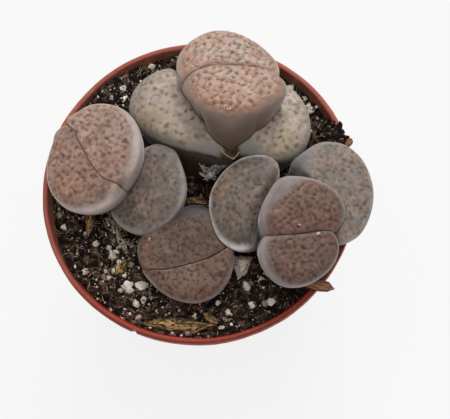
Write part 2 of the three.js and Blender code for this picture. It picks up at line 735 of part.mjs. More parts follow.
// Materials
const paint = (color, roughness) => new THREE.MeshStandardMaterial({ color, roughness, metalness: 0 });
const TERRACOTTA = paint(0xa84a35, 0.5);
const SOIL = paint(0x2e2119, 0.95);
const PINK_LEAF = paint(0xa98678, 0.6);
const GREY_LEAF = paint(0x8f8a80, 0.6);
const CREAM_LEAF = paint(0xa59c84, 0.6);
const PERLITE_WHITE = paint(0xd9d4c8, 0.9);
const HUSK_GOLD = paint(0x9a7440, 0.7);
const PALE_STRAW = paint(0x9b958b, 0.9);

// The clump, the soil it stands in and what lies on the soil
const part = new THREE.Group();

function place(name, solid, material) {
  const mesh = new THREE.Mesh(geometryOf(mainBody(solid)), material);
  mesh.name = name;
  part.add(mesh);
}

// Heads in the order in which they press on each other: each is cut back by those before it
const HEAD_ORDER = [
  ["back_new_leaf_pair", PINK_LEAF],
  ["left_new_leaf_pair", PINK_LEAF],
  ["right_new_leaf_pair", PINK_LEAF],
  ["back_old_leaf_pair", CREAM_LEAF],
  ["left_old_leaf_pair", GREY_LEAF],
  ["right_old_leaf_pair", GREY_LEAF],
  ["front_leaf_pair", PINK_LEAF],
];

place("pot", potSolid(), TERRACOTTA);

let bed = crumbs().reduce((soil, lump) => soil.add(lump), soilBed());
const rim = rimRoom();
const grown = [];
for (const [name, material] of HEAD_ORDER) {
  const solid = grown.reduce((head, other) => head.subtract(other), headSolid(name).subtract(rim));
  place(name, solid, material);
  grown.push(headSolid(name, GAP));
  if (name === "back_new_leaf_pair") {
    place("torn_sheath", tornSheath(0).subtract(grown[0]), HUSK_GOLD);
    grown.push(tornSheath(GAP));
  }
}
const stalk = grown.reduce((body, head) => body.subtract(head), flowerStalk(0));
place("dried_flower_stalk", stalk, PALE_STRAW);
bed = [rim, ...grown].reduce((soil, room) => soil.subtract(room), bed);
const around = [rim, ...grown, flowerStalk(GAP)];

// What lies on the soil: each piece leaves room for those before it and has a hollow in the soil
function lay(name, shapeOf, index, material) {
  const piece = around.reduce((body, other) => body.subtract(other), shapeOf(index, 0));
  place(name, piece, material);
  const room = shapeOf(index, GAP);
  around.push(room);
  bed = bed.subtract(room);
}

PERLITE.forEach((_, index) => {
  lay("perlite_" + String(index + 1).padStart(2, "0"), perliteGrain, index, PERLITE_WHITE);
});
HUSKS.forEach((_, index) => {
  lay("husk_" + (index + 1), huskSolid, index, HUSK_GOLD);
});
place("soil", bed, SOIL);

export default part;
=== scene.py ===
import math

import bpy
import numpy as np
from mathutils import Matrix, Vector, noise
from mathutils.bvhtree import BVHTree
from mathutils.kdtree import KDTree


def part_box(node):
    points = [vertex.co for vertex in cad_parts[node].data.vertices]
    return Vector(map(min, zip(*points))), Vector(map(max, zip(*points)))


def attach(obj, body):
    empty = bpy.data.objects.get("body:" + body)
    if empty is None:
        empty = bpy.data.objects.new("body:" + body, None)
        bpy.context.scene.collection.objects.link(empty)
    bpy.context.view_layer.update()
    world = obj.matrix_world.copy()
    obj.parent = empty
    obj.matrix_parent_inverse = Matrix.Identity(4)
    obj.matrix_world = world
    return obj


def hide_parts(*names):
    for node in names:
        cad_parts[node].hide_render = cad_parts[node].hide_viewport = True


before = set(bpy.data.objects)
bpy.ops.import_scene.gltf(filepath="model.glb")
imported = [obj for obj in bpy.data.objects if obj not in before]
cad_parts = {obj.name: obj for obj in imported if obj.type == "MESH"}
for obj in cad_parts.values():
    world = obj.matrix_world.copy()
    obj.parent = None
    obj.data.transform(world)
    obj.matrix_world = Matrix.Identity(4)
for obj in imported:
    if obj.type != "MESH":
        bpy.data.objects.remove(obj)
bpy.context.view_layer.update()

MM = 0.001
POT_HEIGHT = 58.0
RIM_RADIUS = 40.0
RIM_WIDTH = 1.35
LIP_HEIGHT = 2.4
LIP_OVERHANG = 0.5
BASE_RADIUS = 26.0
WALL = 0.85
FLOOR = 2.0
STEP_HEIGHT = 43.0
STEP_DEPTH = 0.7
DRAIN_HOLES = 6
DRAIN_RADIUS = 2.6
DRAIN_CIRCLE = 19.5

SOIL_LEVEL = POT_HEIGHT - 3.4
MOUNDS = [(-25, 27, 2, 13), (-33, -20, 2, 8), (36, 13, 4.2, 5), (2, -2, -2, 8)]
SPILLED = [
    (33.4, 16.6, -0.4, 4.4), (35.1, 14.8, 0.4, 3.8), (36.8, 12.8, 0.8, 3),
    (36, 10.8, 0.1, 3.2), (38, 12.8, 1.1, 1.8), (36.4, 16, 0.9, 2),
]

# Fineness of a leaf's skin: steps round it, from its middle to its shoulder, and down its flank
TURNS, DOME_STEPS, FLANK_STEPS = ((260, 54, 20))
ROUND_SHOULDER = 3.2
CREASE_SHOULDER = 60.0
CREASE_SPAN = 0.7
# How far from the fissure its painted shade reaches, and how softly it fades
FOLD_REACH, FOLD_BLUR = 0.38, 0.28
# The painted highlight along a leaf's edge: how much lighter it is, and how broad on the face and the flank
EDGE_HIGHLIGHT, EDGE_HIGHLIGHT_BREADTH, EDGE_HIGHLIGHT_DEPTH = 0.35, 0.15, 0.12
FLANK_FULLNESS = 0.32
FLANK_LEAN = 0.35
FOOT_ROUND = 0.35
PRESS_GAP = 0.2

# The leaves. A head is a pair of leaves grown together. face is a point on the plane through the
# shoulders, its lean in degrees and the compass way it leans. Each outline is a leaf's shoulder seen
# from straight above. crease is the way its pair leaf presses on it, and band the smooth strip that
# it has there. bare names the ways in which the smooth edge round the marked window is broad, how
# much of the face it takes there and how narrowly. patch is a tinted place: x, y, radius and
# strength. painted_shade_places are places painted in the lower flank's shaded colour: x, y and
# radius, and fall is how soon the flank takes that painted shade. low names a way in which that
# painted shade begins on the face: the way, share of the face and how narrowly. shade paints shade
# on the face and dim on the flank, both lighter above 1. lit paints the skin lighter toward a way
# and darker away from it: the way and by how much. edge_highlight is how pale the painted highlight
# along its edge is. waist is how far the flank reaches from a middle point at half its height:
# compass angle and distance.
HEADS = {
    "back_new_leaf_pair": dict(
        face=((8.8, 24, 15), 22, 82), dome=3.6, slot="salmon_leaf",
        leaves=[
            dict(crease=262, crease_shoulder=5, foot=((7.5, 16, -7), 6.5),
                 look="pebbled", cast=0.6, lit=(80, 0.05), bare=[(90, 0.05, 2), (200, 0.08, 4)], band=1.0,
                 patch=[(-2, 29, 4, 0.5)],
                 outline=[(-4.3, 27), (-3.8, 31.5), (-0.5, 36), (4.5, 38.6), (9.5, 38.2), (14.5, 35.6),
                          (18.8, 31.5), (21.4, 26.8), (20.6, 23.9), (15.5, 24.7), (9, 25.4), (3.4, 25),
                          (-0.6, 23.4), (-3, 23.6)]),
            dict(face=((8.8, 24, 15.6), 22, 82), crease=82, crease_shoulder=10, foot=((8.5, 13.5, -7), 6),
                 waist=((9, 18, 8.7), [(5, 12.7), (85, 7), (165, 10), (208, 7.2), (251, 10.1),
                                       (268, 10.9), (285, 10.1), (310, 8.9), (344, 10.4)]),
                 look="pebbled", cast=0.35, shade=0.96, dim=0.7, edge_highlight=0.25, bare=[(180, 0.05, 3), (0, 0.04, 3)], band=0.15,
                 patch=[(0.5, 18.6, 3, 0.7), (4.6, 14.4, 3, 0.8), (10, 12.8, 2.6, 0.8), (15.8, 13.8, 2.6, 0.7),
                        (20, 18.6, 3, 0.5)],
                 outline=[(-2.4, 20.6), (-1.2, 24), (2.8, 25.8), (8.5, 26.2), (14.5, 25.6), (19.8, 24.2),
                          (23.1, 21.4), (22.5, 17.6), (18.4, 14), (13.4, 12), (8.4, 11.6), (3.4, 13.2),
                          (-0.4, 16.6)]),
        ]),
    "left_new_leaf_pair": dict(
        face=((-25, 5.3, 10), 18, 175), dome=3.2, slot="tan_leaf",
        leaves=[
            dict(crease=40, foot=((-22, 6, -10), 4.6), look="spotted", cast=0.35, shade=0.84,
                 lit=(190, 0.24), edge_highlight=0.5, bare=[(300, 0.05, 3)],
                 patch=[(-30, -3, 5, 0.6), (-34, 8, 4, 0.6)],
                 outline=[(-34.6, 14), (-31, 14.8), (-27.3, 8.7), (-24.2, 2.7), (-20.8, -1.4),
                          (-17.9, -3), (-20.6, -6.4), (-25.7, -8.4), (-32.5, -6.6), (-36.9, -1),
                          (-37.7, 5.5), (-36.5, 10.8)]),
            dict(crease=220, foot=((-21, 8.5, -10), 4.6), look="spotted", cast=0.45, shade=0.92,
                 lit=(170, 0.2), edge_highlight=0.05, bare=[(10, 0.09, 4), (340, 0.11, 4)], patch=[(-18, 4, 4, 0.5)],
                 outline=[(-31.6, 14.4), (-31.9, 17), (-27.8, 19.8), (-23, 20), (-18.2, 18),
                          (-14.8, 14.2), (-13.1, 9.2), (-13.4, 4.8), (-15.4, 0), (-18, -3),
                          (-20.8, -1.8), (-24.6, 2.3), (-27.7, 8.3)]),
        ]),
    "right_new_leaf_pair": dict(
        face=((26, -16, 12), 21, -35), dome=3.4, slot="rose_leaf",
        leaves=[
            dict(crease=262, crease_shoulder=8, foot=((19.5, -9, -9), 6), look="puckered",
                 cast=0.3, shade=0.94, dim=0.82, edge_highlight=0.65, bare=[(135, 0.34, 3), (195, 0.17, 4)], band=0.35, patch=[(26.5, -9, 4, 0.5)],
                 outline=[(21.4, -2.8), (25.6, -2), (31, -2.9), (35.2, -5.4), (37, -9.2), (36.2, -12.8),
                          (33.8, -15.1), (28, -16.1), (20.6, -17.3), (17.2, -16.2), (16.2, -12),
                          (18, -7.2)]),
            dict(crease=82, crease_shoulder=8, foot=((20, -12, -9), 6), look="puckered",
                 cast=0.5, shade=0.88, dim=0.9, edge_highlight=0.7, bare=[(180, 0.1, 4)], band=0.2, patch=[(24, -22, 4, 0.2)],
                 outline=[(17, -17.2), (20.6, -16), (28, -14.8), (32.8, -14.1), (35, -17.6), (34.2, -22),
                          (30.6, -26), (25.6, -28.4), (21, -28.2), (17.6, -25.4), (16, -21.6)]),
        ]),
    "back_old_leaf_pair": dict(
        face=((6, 16, 7), 10, 90), dome=3.6, slot="khaki_leaf",
        leaves=[
            dict(face=((-6.3, 19.4, 6.5), 14, 125), droop=0.008, crease=330, crease_shoulder=4.5,
                 foot=((3.4, 6, -11), 7), look="olive", cast=0.4, shade=0.92, lit=(20, 0.26), edge_highlight=0.05, bare=[(314, 0.38, 10), (285, 0.1, 4)],
                 painted_shade_places=[(8.6, 4.8, 2.6)], low=(300, 0.06, 3), fall=3, patch=[(-13, 15, 5, 0.7), (-4, 9, 4, 0.4)],
                 outline=[(-6.4, 31.6), (-10.6, 31.2), (-14.8, 28.4), (-17, 24.2), (-17.2, 19.4),
                          (-14.4, 14.6), (-9.4, 11), (-3.4, 8.2), (2, 6.2), (6.4, 5), (9.2, 5.2),
                          (6.4, 8.6), (3.4, 14.4), (0, 20), (-3.4, 26)]),
            dict(face=((19, 15, 6), 14, 45), droop=0.004, crease=190, crease_shoulder=4.5,
                 foot=((10, 9.5, -11), 6), look="olive", cast=0.5, lit=(120, 0.16), edge_highlight=0.1, bare=[(219, 0.4, 7)],
                 painted_shade_places=[(9.4, 7, 1.5)], patch=[(22, 7, 5, 0.6)],
                 outline=[(18, 25.2), (22.4, 26.2), (25.6, 23.6), (28, 19.2), (28.8, 14), (27.8, 9.4),
                          (25.2, 6), (21.6, 4.8), (17, 5.4), (12.6, 6.2), (9.4, 6.8), (11, 8.8),
                          (12.6, 12), (15.6, 18.6)]),
        ]),
    "left_old_leaf_pair": dict(
        face=((-12.5, -1, 4), 12, 190), dome=2.6, slot="grey_leaf",
        leaves=[
            dict(foot=((-11.5, 0, -11), 5), look="stony", cast=0.45, shade=0.72, lit=(95, 0.1), edge_highlight=0.5, bare=[(80, 0.04, 3)],
                 patch=[(-12, -8, 3, 0.5)],
                 outline=[(-10, 10.8), (-6, 9.2), (-3.8, 5), (-2.6, -1.5), (-4, -6.5), (-8, -11),
                          (-13.5, -12.6), (-19, -10.4), (-22, -6), (-21, 0.5), (-17, 6.5),
                          (-13.6, 9.8)]),
        ]),
    "right_old_leaf_pair": dict(
        face=((22, -4, 6), 10, -20), dome=3.0, slot="grey_leaf",
        leaves=[
            dict(face=((11.7, -6.2, 7.8), 8, 200), crease=350, crease_shoulder=4.5,
                 foot=((15.5, -7.5, -10), 5.5), look="stony", cast=0.35, shade=0.7, dim=2.0,
                 lit=(120, 0.26), edge_highlight=0.9, bare=[(250, 0.02, 3)],
                 patch=[(6, -3, 3.4, 1), (9, -11, 2.6, 0.8)],
                 outline=[(10.8, 4.9), (14, 5.8), (18.2, 5.3), (20.7, 3), (20.3, -0.2), (18.7, -3.1),
                          (16.5, -7.3), (15.3, -12.1), (13.7, -17.3), (10.1, -18.1), (5.9, -15.3),
                          (3.7, -10.1), (3.5, -3.9), (6.5, 1.6)]),
            dict(face=((33.6, -3.6, 8), 14, 10), crease=220, crease_shoulder=4, foot=((23, -7, -10), 6),
                 look="stony", cast=0.3, shade=0.93, dim=0.56, lit=(320, 0.12), edge_highlight=0.6, bare=[(165, 0.34, 5)], patch=[(33, 4, 4, 0.5)],
                 painted_shade_places=[(24.6, 2, 4), (27.4, -1.4, 3)],
                 outline=[(23.8, 2.4), (27.2, 6.3), (31.6, 9), (37.2, 8.6), (41.8, 4.4), (44.1, -3),
                          (43, -10.2), (40, -15.2), (35.4, -16.8), (33, -12.6), (31, -6.8), (27, -1.6)]),
        ]),
    "front_leaf_pair": dict(
        face=((-2.8, -18.2, 3.2), 12, 265), dome=3.2, slot="brown_leaf",
        leaves=[
            dict(crease=268, foot=((-2.5, -13, -11), 6), look="freckled", cast=0.4, shade=0.58,
                 dim=0.21, lit=(200, 0.3), edge_highlight=0.2, bare=[(85, 0.32, 5)], patch=[],
                 outline=[(-13.6, -21.2), (-14.7, -18.6), (-14.9, -15.6), (-13.4, -13), (-10, -11.4),
                          (-6.4, -9.1), (-3.8, -6.7), (-0.6, -5.9), (3.4, -7), (7.2, -10.6),
                          (8.8, -16.2), (5.2, -18.4), (2, -19.6), (-1.7, -20.6), (-5.5, -21.4),
                          (-9.2, -21.7)]),
            dict(crease=88, foot=((-2.5, -14.5, -11), 6), look="freckled", cast=0.5, shade=0.84, lit=(230, 0.12),
                 edge_highlight=1.2, bare=[(270, 0.02, 3)], patch=[],
                 outline=[(-13.8, -21.3), (-9.2, -21.5), (-5.5, -21.2), (-1.7, -20.4), (2, -19.4),
                          (5.2, -18.2), (8.6, -16.6), (9, -20.4), (7.6, -24.6), (4.6, -28),
                          (0.6, -29.7), (-3.2, -29.6), (-7.4, -28.1), (-11.4, -25)]),
        ]),
}

# How each kind of face is marked: spacing of its pebbles, the share of their borders that are sunk,
# how unlike in tone they are, the half width of the dark line and of the dip there, least distance,
# radius and least strength of its spots, how much longer than wide they get, the rise of the
# pebbles, the pit at a spot, and how far out the marked window reaches
LOOKS = {
    "pebbled": dict(pebble=1.7, share=0.45, mixed=0.4, groove=0.19, dip=0.45, apart=1.3, spot=0.36,
                    least=0.3, long=1.0, rise=0.31, pit=0.34, open=0.94),
    "puckered": dict(pebble=1.4, share=0.25, mixed=0.5, groove=0.16, dip=0.36, apart=1.05, spot=0.4,
                     least=0.4, long=0.7, rise=0.2, pit=0.17, open=0.93),
    "spotted": dict(pebble=1.4, share=0.15, mixed=0.6, groove=0.18, dip=0.4, apart=1.4, spot=0.54,
                    least=0.45, long=0.2, rise=0.32, pit=0.12, open=0.96),
    "freckled": dict(pebble=1.6, share=0.14, mixed=0.5, groove=0.13, dip=0.4, apart=0.88, spot=0.33,
                     least=0.6, long=0.7, rise=0.09, pit=0.08, open=0.97),
    "olive": dict(pebble=1.9, share=0.1, mixed=0.5, groove=0.2, dip=0.5, apart=1.35, spot=0.5,
                  least=0.3, long=0.8, rise=0.12, pit=0.08, open=0.95),
    "stony": dict(pebble=1.5, share=0.12, mixed=0.6, groove=0.16, dip=0.42, apart=1.1, spot=0.44,
                  least=0.2, long=0.8, rise=0.15, pit=0.07, open=0.96),
}

# The line of the torn sheath's edge: x, y and height over the rim
TORN_SHEATH = [(5.9, 7.7, 9.9), (6.9, 6.9, 9.4), (7.9, 6.1, 9), (8.9, 5.5, 8.4), (9.6, 5.4, 7.9),
               (10.3, 6.1, 8.1), (10.9, 7.1, 8.8), (11.3, 8.2, 9.6)]
# How much larger than its node the one large pumice grain is, along X, Y and Z
LARGE_GRAIN = (1.45, 1.5, 1.3)
# More grains of middling size on the soil: x, y and radius
GRIT = [(-23.1, -14, 0.76), (-21.2, -15.2, 0.7), (-21.6, -20.3, 0.76), (-20.3, -18.2, 0.88),
        (-22.6, -14.9, 0.59), (-20.3, -13.7, 0.53), (-18.4, -14, 0.53), (-22.9, -22, 0.59),
        (-19.8, -32.6, 0.47), (4.6, -29, 0.7), (7.2, -31.5, 0.88), (-1.4, -32.2, 0.59)]
# Where pale papery strips lie on the soil: x and y
PAPERY_STRIPS = [(-24, -3.6), (-22.6, -6.4), (-21.4, -9.4), (-20.8, -12), (-19.4, -14.6), (-16.6, -12.6)]
# Where the soil is darker, in the gap between the front pair and the right new pair, and how far round it
DARK_SOIL_PLACE, DARK_SOIL_SPREAD = (12, -24), 13
# White dust caught on the leaves: x, y and size
DUST = [(29.8, -16, 0.42), (9.5, 13.4, 0.3), (25.7, -14.6, 0.28), (9.9, 22, 0.3), (-11.6, -14.5, 0.22)]

# Dry husks: node, x, y, length, width, compass turn, height over the rim where it isn't on the
# soil, slope, and how ragged it is
HUSKS = [
    ("husk_1", -28, -8, 5.8, 3.2, 262, -2.2, -12, 0.3),
    ("husk_2", -5.4, -34.4, 16.6, 3.5, 356, None, 0, 1.2),
    ("husk_3", 2.8, -33, 4.2, 2.1, 325, None, 0, 0.2),
    ("husk_4", -19.9, -19.4, 4.6, 3, 235, None, 0, 0.6),
    ("husk_5", -1, -2.4, 6, 2.4, 352, -3, 0, 1),
    ("husk_6", 29.4, -25.9, 8.8, 2.9, 347, 1, 3, 0.4),
    ("husk_7", 38.3, 11, 2.5, 1.8, 60, 1.2, 0, 0.6),
]


# Small tools of the bench
def pick_only(piece):
    bpy.ops.object.select_all(action="DESELECT")
    piece.select_set(True)
    bpy.context.view_layer.objects.active = piece


def called(name):
    """The piece just added, with its name and with its place put into its mesh"""
    piece = bpy.context.object
    piece.name = piece.data.name = name
    bpy.ops.object.transform_apply(location=True, rotation=True, scale=True)
    return piece


def points_of(piece):
    flat = np.empty(len(piece.data.vertices) * 3, np.float32)
    piece.data.vertices.foreach_get("co", flat)
    return flat.reshape(-1, 3).astype(float) / MM


def set_points(piece, points):
    piece.data.vertices.foreach_set("co", (np.asarray(points) * MM).astype(np.float32).ravel())
    piece.data.update()


def finish_with(piece, kind, **settings):
    """Adds a modifier with its settings and applies it"""
    pick_only(piece)
    bpy.ops.object.modifier_add(type=kind)
    modifier = piece.modifiers[-1]
    for key, value in settings.items():
        setattr(modifier, key, value)
    bpy.ops.object.modifier_apply(modifier=modifier.name)


def discard(piece):
    bpy.data.objects.remove(piece, do_unlink=True)


def carve(piece, tool, operation="DIFFERENCE", keep=False):
    finish_with(piece, "BOOLEAN", object=tool, operation=operation, solver="MANIFOLD")
    if not keep:
        discard(tool)


def close_up(piece, distance=1e-6):
    """Merges doubled points and turns all faces outwards"""
    pick_only(piece)
    bpy.ops.object.mode_set(mode="EDIT")
    bpy.ops.mesh.select_all(action="SELECT")
    bpy.ops.mesh.remove_doubles(threshold=distance)
    bpy.ops.mesh.normals_make_consistent(inside=False)
    bpy.ops.object.mode_set(mode="OBJECT")


def soften(piece, angle=60):
    pick_only(piece)
    bpy.ops.object.shade_smooth_by_angle(angle=math.radians(angle))


def store(piece, name, values):
    """Keeps one number, or three, for each point of a piece"""
    values = np.asarray(values, np.float32)
    several = values.ndim == 2
    layer = piece.data.attributes.new(name, "FLOAT_VECTOR" if several else "FLOAT", "POINT")
    layer.data.foreach_set("vector" if several else "value", values.ravel())


def show(piece, material, slot, *nodes):
    """Gives a finished piece its material, hangs it under the root and hides the frame's nodes that it stands for;
    slot is not used
    """
    piece.data.materials.clear()
    piece.data.materials.append(material)
    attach(piece, "root")
    if nodes:
        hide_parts(*nodes)
    return piece


def smoothstep(x):
    x = np.clip(x, 0, 1)
    return x * x * (3 - 2 * x)


def way(degrees):
    return np.array([math.cos(math.radians(degrees)), math.sin(math.radians(degrees))])


# Smooth noise over the plane, from -1 to 1, and the soil's height, as in the solid model
def hash2(i, j):
    s = np.sin(i * 127.1 + j * 311.7) * 43758.5453
    return (s - np.floor(s)) * 2 - 1


def noise2(x, y):
    i, j = np.floor(x), np.floor(y)
    u, v = smoothstep(x - i), smoothstep(y - j)
    low = hash2(i, j) * (1 - u) + hash2(i + 1, j) * u
    high = hash2(i, j + 1) * (1 - u) + hash2(i + 1, j + 1) * u
    return low * (1 - v) + high * v


def soil_top(x, y):
    height = SOIL_LEVEL + 0.45 * noise2(x / 6, y / 6) + 0.35 * noise2(x / 2.4 + 9, y / 2.4)
    for mound_x, mound_y, rise, spread in MOUNDS:
        height = height + rise * np.exp(-((x - mound_x) ** 2 + (y - mound_y) ** 2) / spread**2)
    return height


def soil_darkening(x, y):
    """How much darker the soil is there, from 0 to 1"""
    (damp_x, damp_y), spread = DARK_SOIL_PLACE, DARK_SOIL_SPREAD
    return np.exp(-((x - damp_x) ** 2 + (y - damp_y) ** 2) / spread**2)


def crumb_relief(x, y, size, seed):
    """Rounded crumbs side by side, from 0 to 1"""
    u, v = x / size + seed, y / size - seed
    i, j = np.floor(u), np.floor(v)
    best = np.full(np.shape(u), 9.0)
    for di in (-1, 0, 1):
        for dj in (-1, 0, 1):
            a, b = i + di, j + dj
            px = a + 0.5 + 0.42 * hash2(a, b)
            py = b + 0.5 + 0.42 * hash2(b + 71, a - 13)
            reach = 0.62 + 0.22 * hash2(a - 5, b + 3)
            best = np.minimum(best, np.hypot(u - px, v - py) / reach)
    return np.sqrt(np.clip(1 - best**2, 0, 1))


# The leaves' form
def leaning(lean, toward):
    flat = math.sin(math.radians(lean))
    return np.array([*(flat * way(toward)), math.cos(math.radians(lean))])


def smooth_outline(corners, count, grow):
    """Evenly spaced points on a smooth closed curve through the corners, counterclockwise"""
    p1 = np.array(corners, float)
    p0, p2, p3 = np.roll(p1, 1, 0), np.roll(p1, -1, 0), np.roll(p1, -2, 0)
    d0, d1, d2 = (np.linalg.norm(b - a, axis=1)[:, None] ** 0.5 for a, b in ((p0, p1), (p1, p2), (p2, p3)))
    t1 = ((p1 - p0) / d0 - (p2 - p0) / (d0 + d1) + (p2 - p1) / d1) * d1
    t2 = ((p2 - p1) / d1 - (p3 - p1) / (d1 + d2) + (p3 - p2) / d2) * d1
    u = np.linspace(0, 1, 32, endpoint=False)[None, :, None]
    p1, p2, t1, t2 = (a[:, None, :] for a in (p1, p2, t1, t2))
    curve = p1 + t1 * u + (3 * (p2 - p1) - 2 * t1 - t2) * u**2 + (2 * (p1 - p2) + t1 + t2) * u**3
    curve = curve.reshape(-1, 2)
    closed = np.vstack([curve, curve[:1]])
    along = np.r_[0, np.cumsum(np.linalg.norm(np.diff(closed, axis=0), axis=1))]
    at = np.linspace(0, along[-1], count, endpoint=False)
    points = np.c_[np.interp(at, along, closed[:, 0]), np.interp(at, along, closed[:, 1])]
    x, y = points.T
    if np.sum(x * np.roll(y, -1) - y * np.roll(x, -1)) < 0:
        points = points[::-1]
    run = np.roll(points, -1, 0) - np.roll(points, 1, 0)
    run /= np.linalg.norm(run, axis=1)[:, None]
    return points + grow * np.c_[run[:, 1], -run[:, 0]]


def face_height(face, droop, x, y):
    (at_x, at_y, at_z), lean, toward = face
    normal = leaning(lean, toward)
    dx, dy = x - at_x, y - at_y
    return POT_HEIGHT + at_z - (dx * normal[0] + dy * normal[1]) / normal[2] - droop * (dx**2 + dy**2)


def dome_reaches(steps):
    """How far out each ring of a face lies, from its middle to its shoulder, evenly along the skin"""
    q = np.linspace(0, 1, 2000)
    rise = 0.34 * np.sqrt(1 - q**5)
    along = np.r_[0, np.cumsum(np.hypot(np.diff(q), np.diff(rise)))]
    return np.interp(np.linspace(0, along[-1], steps + 1)[1:], along, q)


def leaf_rings(head, leaf, turns, domes, flanks, grow=0.0):
    """A leaf's rings of points from its top down to its foot, with each ring's reach and depth"""
    face = leaf.get("face", head["face"])
    normal = leaning(*face[1:])
    outline = smooth_outline(leaf["outline"], turns, grow)
    height = face_height(face, leaf.get("droop", 0), *outline.T)
    shoulder = np.c_[outline, height]
    centre = shoulder.mean(0)
    outward = shoulder - centre
    outward[:, 2] = 0
    outward /= np.linalg.norm(outward, axis=1)[:, None]
    pressed = leaf.get("crease_shoulder", CREASE_SHOULDER) if "crease" in leaf else ROUND_SHOULDER
    press = smoothstep(outward[:, :2] @ way(leaf.get("crease", 0)) / CREASE_SPAN)
    sharpness = ROUND_SHOULDER + (pressed - ROUND_SHOULDER) * press
    dome = head["dome"] + grow
    reach = dome_reaches(domes)
    rise = dome * np.sqrt(np.clip(1 - reach[:, None] ** sharpness, 0, 1))
    face_rings = centre + (shoulder - centre) * reach[:, None, None] + normal * rise[..., None]
    foot_at, foot_radius = leaf["foot"]
    foot = np.array(foot_at, float) + (0, 0, POT_HEIGHT - grow)
    foot_radius = foot_radius + grow
    end = foot + outward * foot_radius
    below = normal * FLANK_LEAN + np.array([0, 0, 1 - FLANK_LEAN])
    length = np.linalg.norm(shoulder - end, axis=1)[:, None]
    belly = shoulder - below / np.linalg.norm(below) * FLANK_FULLNESS * length
    if "waist" in leaf:
        (waist_x, waist_y, waist_z), reaches = leaf["waist"]
        compass = np.degrees(np.arctan2(outward[:, 1], outward[:, 0]))
        reach_there = np.interp(compass, *zip(*reaches), period=360) + grow
        waist = outward * reach_there[:, None] + (waist_x, waist_y, POT_HEIGHT + waist_z)
        belly = 2 * waist - (shoulder + end) / 2
    depth = (np.arange(1, flanks + 1) / flanks) ** 1.35
    t = depth[:, None, None]
    flank_rings = shoulder * (1 - t) ** 2 + belly * 2 * t * (1 - t) + end * t**2
    top = centre + normal * dome
    bottom = foot - (0, 0, FOOT_ROUND * foot_radius)
    return np.concatenate([face_rings, flank_rings]), top, bottom, centre, reach, depth


def leaf_body(name, rings, top, bottom):
    """A round primitive whose rings of points are drawn to the leaf's"""
    levels, turns = rings.shape[:2]
    middle = rings.reshape(-1, 3).mean(0)
    bpy.ops.mesh.primitive_uv_sphere_add(
        segments=turns, ring_count=levels + 1, radius=10 * MM, location=middle * MM, calc_uvs=False)
    body = called(name)
    unit = (points_of(body) - middle) / 10
    level = np.rint(np.arccos(np.clip(unit[:, 2], -1, 1)) / math.pi * (levels + 1)).astype(int)
    turn = np.rint(np.arctan2(unit[:, 1], unit[:, 0]) / (2 * math.pi) * turns).astype(int) % turns
    points = rings[np.clip(level - 1, 0, levels - 1), turn]
    points[level == 0] = top
    points[level == levels + 1] = bottom
    set_points(body, points)
    return body, level, turn


# The leaves' marks
def spread_out(points, room):
    """Those of the points, taken in order, that keep their room to the ones already taken"""
    kept = np.empty((0, 2))
    for point, space in zip(points, room):
        if len(kept) == 0 or np.min(np.hypot(*(kept - point).T)) > space:
            kept = np.vstack([kept, point])
    return kept


def borders(pebbles, at):
    """For each point: distances to its three nearest pebbles and to the borders between them"""
    gap = np.linalg.norm(at[:, None] - pebbles, axis=2)
    order = np.argsort(gap, axis=1)[:, :3]
    near = np.take_along_axis(gap, order, 1)
    to_border = []
    for k in (1, 2):
        apart = np.linalg.norm(pebbles[order[:, k]] - pebbles[order[:, 0]], axis=1)
        to_border.append((near[:, k] ** 2 - near[:, 0] ** 2) / (2 * apart))
    return near, order, to_border


def inward_of(seed, leaf, look, centre, plan, reach):
    """How far inside its marked window each point of a face lies, as a share of the face"""
    angle = np.degrees(np.arctan2(plan[:, 1] - centre[1], plan[:, 0] - centre[0]))
    taken = np.zeros(len(plan))
    for toward, share, narrow in leaf["bare"]:
        facing = np.cos(np.radians(angle - toward))
        taken = np.maximum(taken, share * np.maximum(facing, 0) ** narrow)
    inward = look["open"] - taken - reach + 0.03 * noise2(plan[:, 0] / 1.3 + seed, plan[:, 1] / 1.3)
    if "crease" in leaf:
        inward += 0.15 * smoothstep(np.cos(np.radians(angle - leaf["crease"])) / CREASE_SPAN)
    return inward


def unrolled(plan, reach, centre, outline, dome):
    """The plan points moved out to where they lie when the domed skin is laid flat"""
    radius = np.mean(np.linalg.norm(outline - centre[:2], axis=1))
    q = np.linspace(0, 1, 400)
    rise = dome * np.sqrt(1 - q**ROUND_SHOULDER)
    along = np.r_[0, np.cumsum(np.hypot(np.diff(q) * radius, np.diff(rise)))] / radius
    stretch = np.interp(reach, q, along) / np.maximum(reach, 1e-3)
    return centre[:2] + (plan - centre[:2]) * stretch[:, None]


